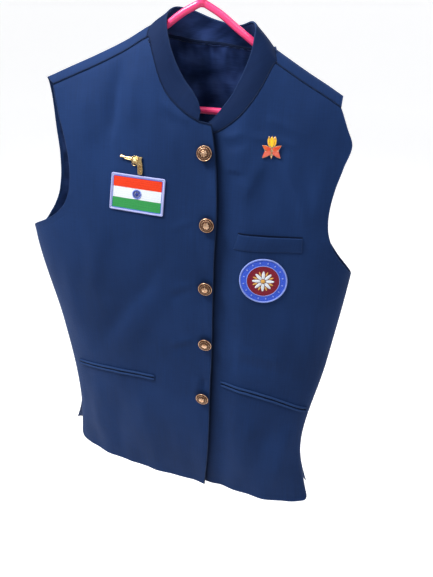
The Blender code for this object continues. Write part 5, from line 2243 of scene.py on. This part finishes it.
@dataclass
class RoundPatch:
    """The round sewn-on patch with a generic rosette of petals and a ring of knots."""

    form: Form
    centre: tuple = (11.0, -45.5)
    radius: float = 3.5
    ground: float = 0.10

    def place(self, along: Any, across: Any, angle: float = 0.0) -> tuple:
        """Places from the middle, so far along a direction and across it.

        Args:
            along: Distances along it.
            across: Distances across it.
            angle: Angle of the direction.

        Returns:
            x and z.
        """
        cosine, sine = math.cos(angle), math.sin(angle)
        x, z = self.centre
        return x + along * cosine - across * sine, z + along * sine + across * cosine

    def disc(self, name: str, radius: float, lift: float, thickness: float, material: Material) -> Piece:
        """Make a round block of fill stitching.

        Args:
            name: Its name.
            radius: Its radius.
            lift: Height of its face.
            thickness: Its thickness.
            material: Its thread.

        Returns:
            The object.
        """
        v, u = np.meshgrid(np.linspace(1, -1, 61), np.linspace(-1, 1, 61), indexing="ij")
        x, z = self.place(radius * u * np.sqrt(1 - v * v / 2), radius * v * np.sqrt(1 - u * u / 2))
        grid = self.form.front(x, z, lift)
        grid = grid + Wall.normals(grid) * (0.004 * np.sin(x * 70))[..., None]
        return Wall(grid, thickness, None, 3).build(name, (material,))

    def ring(
        self, name: str, radius: float, size: float, lift: float, pitch: float, material: Material
    ) -> Piece:
        """Make a wound ring.

        Args:
            name: Its name.
            radius: Radius of the ring.
            size: Radius of its section.
            lift: Height of its middle.
            pitch: Distance between the thread's turns.
            material: Its thread.

        Returns:
            The object.
        """
        angles = circle(max(200, int(radius * 220)))
        x, z = self.place(radius * np.cos(angles), radius * np.sin(angles))
        return cord(name, self.form.front(x, z, lift), self.form.off(x, z), size, pitch, 10, material)

    def petals(
        self, count: int, turn: float, reach: float, half: tuple, lift: float, material: Material
    ) -> list:
        """Make a ring of raised satin-stitch petals.

        Args:
            count: Number of petals.
            turn: Share of a petal's angle by which the first is turned.
            reach: Distance of their middles from the patch's.
            half: Half the length and half the width of one.
            lift: Height of their feet.
            material: Their thread.

        Returns:
            The objects.
        """
        v, u = np.linspace(-0.985, 0.985, 18)[:, None], np.linspace(-1, 1, 15)[None]
        along, across = level(reach + v * half[0], u * half[1] * np.sqrt(1 - v * v) * (1 - 0.25 * v))
        dome = 0.075 * (1 - u * u) ** 0.5 * np.sqrt(1 - v * v) + 0.006 * np.sin(v * half[0] * 70)
        grain = np.stack(level(along, across, FAR_FROM_EDGE), -1)[:, ::-1]
        pieces = []
        for number in range(count):
            x, z = self.place(along, across, TURN * (number + turn) / count)
            grid = self.form.front(x, z, lift + np.maximum(dome, 0))
            pieces.append(Wall(grid[:, ::-1], 0.03, None, 2).build("petal", (material,), grain))
        return pieces

    def build(self, wear: Wardrobe) -> list:
        """Make the patch.

        Args:
            wear: The finishes.

        Returns:
            Its ground and its stitching.
        """
        top = 0.03 + self.ground
        ground = self.disc("round_patch_cloth", self.radius - 0.08, top, self.ground, wear.royal)
        pieces = [
            self.disc("middle", 2.36, top + 0.035, 0.05, wear.maroon),
            self.ring("edge", self.radius - 0.11, 0.105, top, 0.085, wear.sky),
            self.ring("inner", 2.40, 0.045, top + 0.03, 0.10, wear.sky),
            self.ring("wreath", 2.08, 0.022, top + 0.05, 0.14, wear.maroon),
            *self.petals(16, 0.5, 2.86, (0.13, 0.06), top, wear.sky),
            *self.petals(8, 0.0, 0.98, (0.62, 0.22), top + 0.04, wear.white),
            *self.petals(8, 0.5, 1.26, (0.34, 0.10), top + 0.04, wear.gold),
            *self.petals(1, 0.0, 0.0, (0.30, 0.30), top + 0.07, wear.gold),
        ]
        stitching = settle(join_pieces("round_stitching", pieces), "patch_thread")
        cut = dict(flat=(0.070, 0.070), held="laid", rests_on=["front_under_cloth"], area=0.0037)
        cut["with_pieces"] = ["round_stitching"]
        return [settle(ground, "patch_thread", "round_patch", **cut), stitching]


# Buttons and pins


@dataclass
class Buttons:
    """Five domed metal buttons on shanks, stamped with a generic rosette and a rope rim."""

    form: Form
    places: tuple = ((1.9, -27.5), (2.55, -37.5), (2.5, -47.5), (2.6, -57.2), (2.3, -67.5))
    droops: tuple = (-4.0, 2.0, 6.0, 9.0, 7.0)
    spins: tuple = (10.0, -25.0, 40.0, 5.0, -50.0)
    radius: float = 1.08
    dome: float = 0.36
    shank: float = 0.34
    around: int = 176
    back: tuple = (
        (1.00, 0.05), (0.975, 0.015), (0.93, 0.0), (0.60, -0.03), (0.30, -0.05), (0.26, -0.08),
        (0.26, -0.335),
    )

    def face(self, share: Points, angle: Points) -> tuple[Points, Points]:
        """Height and relief of the button's face.

        Args:
            share: Distance from its middle, from 0 to 1 at its rim.
            angle: Angle round it.

        Returns:
            Heights above the rim's foot, and relief from 0 to 1.
        """
        dome = 0.12 + self.dome * (1 - np.minimum(share / 0.86, 1) ** 2) * 0.92
        rim = bell(share, 0.92, 0.055)
        rope = 0.5 + 0.5 * np.cos(angle * 44 + share * 60)
        rosette = eased((0.50 * (0.55 + 0.45 * np.abs(np.cos(angle * 4)) ** 0.6) - share) / 0.06)
        rosette = rosette * (0.45 + 0.55 * np.sin(math.pi * np.clip(share / 0.5, 0, 1)))
        heart = eased((0.13 - share) / 0.05)
        leaves = bell(share, 0.68, 0.085) * eased((np.abs(np.cos(angle * 10 + share * 5)) - 0.35) / 0.3)
        beads = bell(share, 0.54, 0.022)
        layers = (rosette * 0.8, heart, leaves * 0.55, beads * 0.5, rim * (0.8 + 0.2 * rope))
        height = dome + 0.040 * rosette + 0.03 * heart + 0.034 * leaves + 0.02 * beads
        height = height + rim * (0.055 + 0.018 * rope)
        return height + self.shank, np.clip(np.max(np.broadcast_arrays(*layers), axis=0), 0, 1)

    def one(self, number: int, wear: Wardrobe) -> Piece:
        """Make one button.

        Args:
            number: Its number, from 1 at the top.
            wear: The finishes.

        Returns:
            The object.
        """
        angles = circle(self.around)[None]
        shares = np.concatenate((np.linspace(0.012, 0.94, 52), (0.955, 0.970, 0.984, 0.994, 1.0)))[:, None]
        heights, relief = self.face(shares, angles)
        edge = eased((shares - 0.95) / 0.05)
        heights = heights * (1 - edge) + (self.shank + 0.10) * edge
        low_radii, low_heights, _ = level(*(column[:, None] for column in np.array(self.back).T), 0 * angles)
        radii = self.radius * np.concatenate((np.broadcast_to(shares, heights.shape), low_radii))
        heights = np.concatenate((heights, low_heights + self.shank))
        relief = np.concatenate((relief, np.full(low_radii.shape, 0.35)))
        points = np.stack((radii * np.cos(angles), radii * np.sin(angles), heights), -1).reshape(-1, 3)
        faces = tube_faces(len(radii), self.around)
        piece = make_piece(f"button_{number}_copper", points, faces, [wear.copper], relief=relief.ravel())
        turn = self.spins[number - 1]
        tip = spin(-turn, "Z") @ spin(self.droops[number - 1], "X") @ spin(turn, "Z")
        piece.data.transform(self.form.front_frame(*self.places[number - 1], 0.08, turn) @ tip)
        return settle(piece, "button_metal", f"button_{number}")

    def build(self, wear: Wardrobe) -> list:
        """Make all the buttons."""
        return [self.one(number, wear) for number in range(1, len(self.places) + 1)]


def plate(
    name: str,
    outline: Points,
    thickness: float,
    bevel: float,
    middle: float,
    material: Material,
    relief: float = 0.8,
) -> Piece:
    """Make a flat plate with rounded edges in a pin's own frame.

    Args:
        name: Its name.
        outline: Its closed outline in x and y.
        thickness: Its thickness.
        bevel: Width of the rounding.
        middle: Height of its middle.
        material: Its finish.
        relief: Relief of its face, from 0 to 1.

    Returns:
        The object.
    """
    ahead = np.roll(outline, -1, 0) - np.roll(outline, 1, 0)
    turning = outline[:, 0] @ np.roll(outline[:, 1], -1) - np.roll(outline[:, 0], -1) @ outline[:, 1]
    out = unit(np.stack((ahead[:, 1], -ahead[:, 0]), -1)) * np.sign(turning)
    count, rings, edge = len(outline), [], []
    for number, angle in enumerate(np.radians(np.linspace(-90, 90, 9))):
        height = middle + (thickness / 2 - bevel) * np.sign(angle) + bevel * math.sin(angle)
        rings.append(np.column_stack((outline - out * bevel * (1 - math.cos(angle)), np.full(count, height))))
        edge.append(np.full(count, min(1.0, relief + 0.2 * (abs(number - 4) < 4))))
    faces = tube_faces(len(rings), count)
    return make_piece(name, np.concatenate(rings), faces, [material], None, None, np.concatenate(edge), 40.0)


def turned(
    name: str, profile: Sequence, start: tuple, material: Material, flutes: int = 0, deep: float = 0.0
) -> Piece:
    """Make a turned metal part of the revolver, along its barrel.

    Args:
        name: Its name.
        profile: Places along the axis and radii.
        start: Where the axis starts.
        material: Its finish.
        flutes: Number of its flutes.
        deep: Their depth.

    Returns:
        The object.
    """
    axis = Vector((1.0, 0.03, 0.0)).normalized()
    angles = circle(48)[None]
    along, radii = np.array(profile, float).T
    cuts = deep * np.clip(np.cos(angles * flutes), 0, 1) ** 0.7
    size = radii[:, None] - cuts * (radii[:, None] > 0.9 * radii.max())
    line = np.array(start)[None] + along[:, None] * np.array(axis)[None]
    aside = np.array((-axis.y, axis.x, 0.0))
    around = np.cos(angles)[..., None] * aside + np.sin(angles)[..., None] * np.array(OUTWARD_Z)
    points = (line[:, None] + size[..., None] * around).reshape(-1, 3)
    relief = np.clip(0.9 - 6 * np.broadcast_to(cuts, size.shape), 0, 1).ravel()
    return make_piece(name, points, tube_faces(len(profile), 48), [material], None, None, relief, 35.0)


@dataclass
class RevolverPin:
    """A small brass pin in the shape of a revolver, its muzzle to the left."""

    form: Form
    place: tuple = (-8.6, -29.6)
    lift: float = 0.17
    turn: float = -7.0
    frame_line: tuple = (
        (-0.20, 0.24), (-0.10, 0.22), (0.02, 0.04), (0.20, -0.06), (0.70, -0.02), (0.88, -0.28),
        (1.06, -1.36), (1.30, -1.43), (1.66, -1.38), (1.78, -1.05), (1.56, 0.10), (1.36, 0.66),
        (1.46, 1.00), (1.30, 1.08), (1.16, 1.02), (0.20, 1.00), (0.10, 0.86), (-0.20, 0.80),
    )
    barrel: tuple = (
        (0.0, 0.10), (0.0, 0.155), (0.03, 0.175), (0.16, 0.175), (0.19, 0.150), (0.60, 0.150),
        (1.20, 0.158), (1.70, 0.165), (1.74, 0.20), (1.82, 0.20), (1.85, 0.10),
    )
    rod: tuple = ((0.0, 0.03), (0.0, 0.06), (0.05, 0.075), (1.05, 0.075), (1.08, 0.04))
    drum: tuple = (
        (0.0, 0.10), (0.0, 0.26), (0.05, 0.30), (0.20, 0.315), (0.52, 0.315), (0.66, 0.30),
        (0.70, 0.26), (0.70, 0.10),
    )
    guard: tuple = ((0.72, -0.10), (0.50, -0.33), (0.20, -0.34), (-0.02, -0.10), (0.10, 0.06), (0.6, 0.04))
    trigger: tuple = ((0.36, 0.02, 0.0), (0.33, -0.10, 0.0), (0.27, -0.19, 0.0), (0.20, -0.23, 0.0))
    grip: tuple = ((1.02, -0.36), (1.18, -1.26), (1.58, -1.24), (1.66, -1.00), (1.44, -0.10), (1.16, -0.06))
    sight: tuple = ((-1.80, 0.66), (-1.56, 0.66), (-1.60, 0.80), (-1.72, 0.80))
    bead: tuple = ((0.0, 0.012), (0.0, 0.040), (0.02, 0.030), (0.035, 0.010))

    def studs(self, brass: Material) -> list:
        """Make the raised points of the grip's checkering.

        Args:
            brass: The finish.

        Returns:
            The objects.
        """
        pieces, angles, faces, relief = [], circle(4)[None], tube_faces(4, 4), np.full(16, 0.95)
        height, radius = (column[:, None] for column in np.array(self.bead).T)
        for row in range(10):
            for column in range(4):
                x = 1.13 + column * 0.115 + 0.012 * row + 0.16 * (row < 1) + radius * 1.25 * np.cos(angles)
                y = -0.20 - row * 0.105 - 0.05 * (column % 2) + radius * 1.25 * np.sin(angles)
                points = np.stack(level(x, y, 0.10 + height), -1).reshape(-1, 3)
                pieces.append(make_piece("stud", points, faces, [brass], None, None, relief, 30.0))
        return pieces

    def build(self, wear: Wardrobe) -> Piece:
        """Make the pin.

        Args:
            wear: The finishes.

        Returns:
            The object.
        """
        brass, wire = wear.brass, oval(0.040, 0.055)
        guard = np.pad(rounded_loop(self.guard, 90), ((0, 0), (0, 1)))
        parts = [
            plate("frame", rounded_loop(self.frame_line, 150, 0.28), 0.14, 0.035, 0.0, brass),
            turned("barrel", self.barrel, (-1.90, 0.52, 0.03), brass),
            turned("rod", self.rod, (-1.20, 0.30, 0.03), brass),
            turned("drum", self.drum, (0.16, 0.52, 0.02), brass, 8, 0.05),
            tube("guard", guard, OUTWARD_Z, wire, 10, True, brass, 0.8),
            tube("trigger", np.array(self.trigger), OUTWARD_Z, wire, 10, False, brass, 0.8),
            plate("grip", rounded_loop(self.grip, 90, 0.3), 0.20, 0.04, 0.01, brass, 0.25),
            *self.studs(brass),
            plate("sight", rounded_loop(self.sight, 24, 0.2), 0.07, 0.02, 0.03, brass),
        ]
        piece = join_pieces("revolver_pin_brass", parts)
        piece.data.transform(self.form.front_frame(*self.place, self.lift, self.turn))
        return settle(piece, "pin_brass", "revolver_pin")


@dataclass
class TulipPin:
    """A small enamelled pin: a tulip over two spreading leaves, with a raised metal outline.

    Attributes:
        spread: How far the cells reach towards the outline.
        half: The right half of its outline.
        cells: Outlines of the cells on the right, with the names of their enamels.
    """

    form: Form
    place: tuple = (10.9, -26.5)
    lift: float = 0.14
    spread: float = 1.12
    half: tuple = (
        (0.0, 1.62), (0.22, 1.42), (0.46, 1.62), (0.64, 1.10), (0.58, 0.55), (0.30, 0.16), (0.66, 0.36),
        (1.30, 0.42), (0.98, -0.22), (0.98, -0.62), (1.26, -1.28), (0.74, -1.16), (0.24, -0.86), (0.0, -1.40),
    )
    middle: tuple = ((0.0, 1.50), (0.24, 1.10), (0.22, 0.55), (0.0, 0.22), (-0.22, 0.55), (-0.24, 1.10))
    cells: tuple = (
        (((0.42, 1.46), (0.56, 1.05), (0.50, 0.58), (0.24, 0.26), (0.30, 0.60), (0.32, 1.12)), "yellow"),
        (((0.14, 0.02), (0.64, 0.26), (1.16, 0.34), (0.84, -0.18), (0.30, -0.30)), "orange"),
        (((0.16, -0.44), (0.62, -0.36), (0.92, -0.46), (1.14, -1.16), (0.68, -1.04), (0.20, -0.76)), "shell"),
    )
    stem: tuple = ((0.0, 0.2, 0.07), (0.0, -0.3, 0.08), (0.0, -0.8, 0.08), (0.0, -1.34, 0.07))

    def cell(self, corners: Sequence, enamel: Material) -> Piece:
        """Make one cell of enamel inside its corners."""
        wider = np.array(corners) * self.spread + np.mean(corners, axis=0) * (1 - self.spread)
        return plate("cell", rounded_loop(wider, 70, 0.34), 0.08, 0.035, 0.055, enamel)

    def build(self, wear: Wardrobe) -> Piece:
        """Make the pin.

        Args:
            wear: The finishes.

        Returns:
            The object.
        """
        outline = [*self.half, *((-x, y) for x, y in self.half[-2:0:-1])]
        parts = [plate("ground", rounded_loop(outline, 220, 0.22), 0.13, 0.03, 0.0, wear.copper)]
        parts.append(self.cell(self.middle, wear.yellow))
        for right, enamel in self.cells:
            left = [(-x, y) for x, y in (right[0], *right[:0:-1])]
            parts += [self.cell(right, getattr(wear, enamel)), self.cell(left, getattr(wear, enamel))]
        stem, wire = np.array(self.stem), oval(0.055, 0.055)
        parts.append(tube("stem", stem, OUTWARD_Z, wire, 12, False, wear.brass, 0.8))
        piece = join_pieces("flower_pin_enamel", parts)
        piece.data.transform(self.form.front_frame(*self.place, self.lift))
        return settle(piece, "pin_enamel", "flower_pin")


# The hanger


@dataclass
class Hanger:
    """The moulded tubular hanger: arms, bar, neck and hook in one.

    Attributes:
        arm: Reach and drop of places along an arm.
        tilt: How much the hanger slopes down to the right.
        sweep_angle: How far the hook goes round.
        voxel: Size of the cells in which its parts are blended into one skin.
    """

    arm: tuple = (
        (0.0, 0.0), (2.6, 1.40), (5.1, 3.20), (7.1, 4.60), (10.1, 6.80), (14.5, 9.90), (16.9, 11.45),
    )
    apex_z: float = -9.0
    bar_z: float = -23.0
    tilt: float = 0.02
    end_reach: float = 18.2
    end_radius: float = 1.25
    tube_radius: float = 0.5
    hook_radius: float = 2.6
    hook_tube: float = 0.45
    stem: float = 0.66
    foot_z: float = -6.6
    sweep_angle: float = 232.0
    voxel: float = 0.115

    def side(self, sign: int) -> list:
        """Points of one arm and the bend at its end, down to the bar.

        Args:
            sign: 1 for the right arm and -1 for the left.

        Returns:
            Its places in x and z.
        """
        points = []
        for reach in np.linspace(0.35, self.arm[-1][0], 60):
            drop = float(Curve(*zip(*self.arm))(reach)[0])
            points.append((sign * reach, self.apex_z - drop - self.tilt * sign * reach))
        low = self.bar_z - self.tilt * sign * self.end_reach
        for angle in np.radians(np.linspace(50, -90, 30)):
            x = self.end_reach - self.end_radius + self.end_radius * math.cos(angle)
            points.append((sign * x, low + self.end_radius + self.end_radius * math.sin(angle)))
        return points

    def hook(self) -> list:
        """Points of the stem and hook, with their radii.

        Returns:
            Rows of x, z and radius.
        """
        centre_z = self.hook_tube - self.hook_radius
        path = []
        for z in np.linspace(self.apex_z - 0.2, self.foot_z, 12)[:-1]:
            share = (z - self.apex_z) / (self.foot_z - self.apex_z)
            path.append((0.0, z, self.stem + (self.hook_tube - self.stem) * share))
        start = math.radians(-58)
        join = np.array((self.hook_radius * math.cos(start), centre_z + self.hook_radius * math.sin(start)))
        foot, bend = np.array((0.0, self.foot_z)), np.array((0.0, -5.3))
        for t in np.linspace(0, 1, 16)[:-1]:
            path.append((*(foot * (1 - t) ** 2 + bend * 2 * t * (1 - t) + join * t * t), self.hook_tube))
        for angle in np.linspace(start, start + math.radians(self.sweep_angle), 70):
            x, z = self.hook_radius * math.cos(angle), centre_z + self.hook_radius * math.sin(angle)
            path.append((x, z, self.hook_tube))
        return path

    def build(self, wear: Wardrobe) -> Piece:
        """Make the hanger and blend its parts into one skin.

        Args:
            wear: The finishes.

        Returns:
            The object.
        """
        reach = self.end_reach - 2
        bar = [(x, self.bar_z - self.tilt * x) for x in np.linspace(reach, -reach, 60)]
        loop = np.array(self.side(1) + bar + self.side(-1)[::-1])
        hook = np.array(self.hook())
        parts = []
        for name, places, radius, closed in (
            ("loop", loop, self.tube_radius, True),
            ("hook", hook, hook[:, 2:], False),
        ):
            path = np.insert(places[:, :2], 1, 0.0, 1)
            parts.append(tube(name, path, (0.0, 1.0, 0.0), oval(radius, radius), 32, closed, wear.plastic))
        tip_x, tip_z, radius = hook[-1]
        angles, polar = circle(32)[None], np.radians(np.linspace(4, 176, 20))[:, None]
        flat = radius * np.sin(polar)
        ball = level(tip_x + flat * np.cos(angles), flat * np.sin(angles), tip_z + radius * np.cos(polar))
        parts.append(make_piece("tip", np.stack(ball, -1).reshape(-1, 3), tube_faces(20, 32), [wear.plastic]))
        joined = join_pieces("joined_tubes", parts)
        skin = joined.modifiers.new("skin", "REMESH")
        skin.mode = "VOXEL"
        skin.voxel_size = self.voxel * CM
        skin.use_smooth_shade = True
        even = joined.modifiers.new("even", "SMOOTH")
        even.factor = 0.5
        even.iterations = 6
        mesh = bpy.data.meshes.new_from_object(joined.evaluated_get(bpy.context.evaluated_depsgraph_get()))
        bpy.data.objects.remove(joined, do_unlink=True)
        mesh.materials.clear()
        mesh.materials.append(wear.plastic)
        mesh.polygons.foreach_set("use_smooth", [True] * len(mesh.polygons))
        return settle(shown("hanger_moulding", mesh), "pink_plastic", "hanger")


# The studio


@dataclass
class Studio:
    """The camera at the photograph's angle, soft lights and a pale floor."""

    azimuth: float = 12.0
    pitch: float = 27.5
    roll: float = 1.0
    place: tuple = (21.19, -87.49, -4.74)
    pixels: float = 620.0
    long_side: float = 577.0
    sensor: float = 36.0
    sky: tuple = (0.93, 0.95, 1.0, 1.0)
    sky_strength: float = 0.34
    floor_z: float = -1.35
    flat_reach: float = 6.0
    curve: float = 5.0
    around: int = 96

    def camera(self) -> None:
        """Make the camera."""
        a, p, r = map(math.radians, (self.azimuth, self.pitch, self.roll))
        ahead = Vector((-math.sin(a) * math.cos(p), math.cos(a) * math.cos(p), -math.sin(p)))
        right = Vector((math.cos(a), math.sin(a), 0.0))
        down = ahead.cross(right)
        across = right * math.cos(r) - down * math.sin(r)
        lower = right * math.sin(r) + down * math.cos(r)
        data = bpy.data.cameras.new("photo_camera")
        data.sensor_width = self.sensor
        data.lens = self.pixels * self.sensor / self.long_side
        camera = shown("photo_camera", data)
        turn = Matrix((across, -lower, -ahead)).transposed().to_4x4()
        camera.matrix_world = Matrix.Translation(Vector(self.place) * CM) @ turn
        bpy.context.scene.camera = camera

    @staticmethod
    def lamp(name: str, place: tuple, aim: tuple, size: float, power: float) -> None:
        """Add a soft square light.

        Args:
            name: Its name.
            place: Where it stands, in metres.
            aim: Where it points.
            size: Its side.
            power: Its power in watts.
        """
        data = bpy.data.lights.new(name, "AREA")
        data.size = size
        data.energy = power
        light = shown(name, data)
        light.location = place
        light.rotation_euler = (Vector(aim) - Vector(place)).to_track_quat("-Z", "Y").to_euler()

    def floor(self) -> None:
        """Make the floor, a wide bowl whose rim curves up behind the coat."""
        turn = np.radians(np.linspace(0, 88, 23))
        flat = np.linspace(0.1, self.flat_reach, 9)[:-1]
        reach = np.concatenate((flat, self.flat_reach + self.curve * np.sin(turn)))
        rise = np.concatenate((0 * flat, self.curve * (1 - np.cos(turn))))[:, None]
        x, y = (reach[:, None] * wave(circle(self.around)) for wave in (np.cos, np.sin))
        points = np.stack(level(x, y, rise + self.floor_z), -1).reshape(-1, 3) / CM
        faces = [*cell_faces(len(reach), self.around, False, True), range(self.around)]
        floor = make_piece("floor", points, faces, [PalePaint().build()])
        if floor.data.polygons[0].normal.z < 0:
            floor.data.flip_normals()

    def build(self) -> None:
        """Make the camera, lights, sky and floor."""
        self.camera()
        self.lamp("key", (-0.85, -0.50, 1.00), (-0.12, 0.0, -0.22), 0.50, 44.5)
        self.lamp("fill", (1.2, -2.4, 0.9), (0.0, 0.0, -0.4), 1.8, 3.0)
        self.lamp("top", (0.50, -0.42, 0.55), (0.17, 0.0, -0.20), 0.40, 2.6)
        self.lamp("rim", (1.3, 1.8, 1.1), (0.0, 0.0, -0.4), 1.0, 22.0)
        bpy.context.scene.view_settings.view_transform = "Standard"
        sky = bpy.data.worlds.new("pale_sky")
        sky.use_nodes = True
        ground = sky.node_tree.nodes["Background"]
        ground.inputs["Color"].default_value = self.sky
        ground.inputs["Strength"].default_value = self.sky_strength
        bpy.context.scene.world = sky
        self.floor()


def main() -> None:
    """Build every piece round the frame."""
    logging.basicConfig(level=logging.INFO, format="%(message)s")
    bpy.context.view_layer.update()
    Studio().build()
    wear = Wardrobe()
    creases = [Crease(*row) for row in FRONT_FOLDS] + [Crease(*row, face=Face.BACK) for row in BACK_FOLDS]
    form = Form(creases=tuple(creases))
    pattern = Pattern(form, 8)
    assemblies = (
        Hanger(),
        BackPanel(pattern),
        OverFront(pattern),
        UnderFront(pattern),
        BackLining(pattern),
        Collar(pattern),
        SeamTapes(pattern),
        BreastWelt(form),
        JetPocket(form, "left", "front_over_cloth", (-21.2, -67.2), (-6.2, -65.6), 0.35),
        JetPocket(form, "right", "front_under_cloth", (5.1, -64.6), (19.0, -68.1), 0.80),
        FlagPatch(form),
        RoundPatch(form),
        Buttons(form),
        RevolverPin(form),
        TulipPin(form),
    )
    for assembly in assemblies:
        made = assembly.build(wear)
        for piece in made if isinstance(made, list) else [made]:
            log.info("%s: %d faces", piece.name, len(piece.data.polygons))


if __name__ == "__main__":
    main()
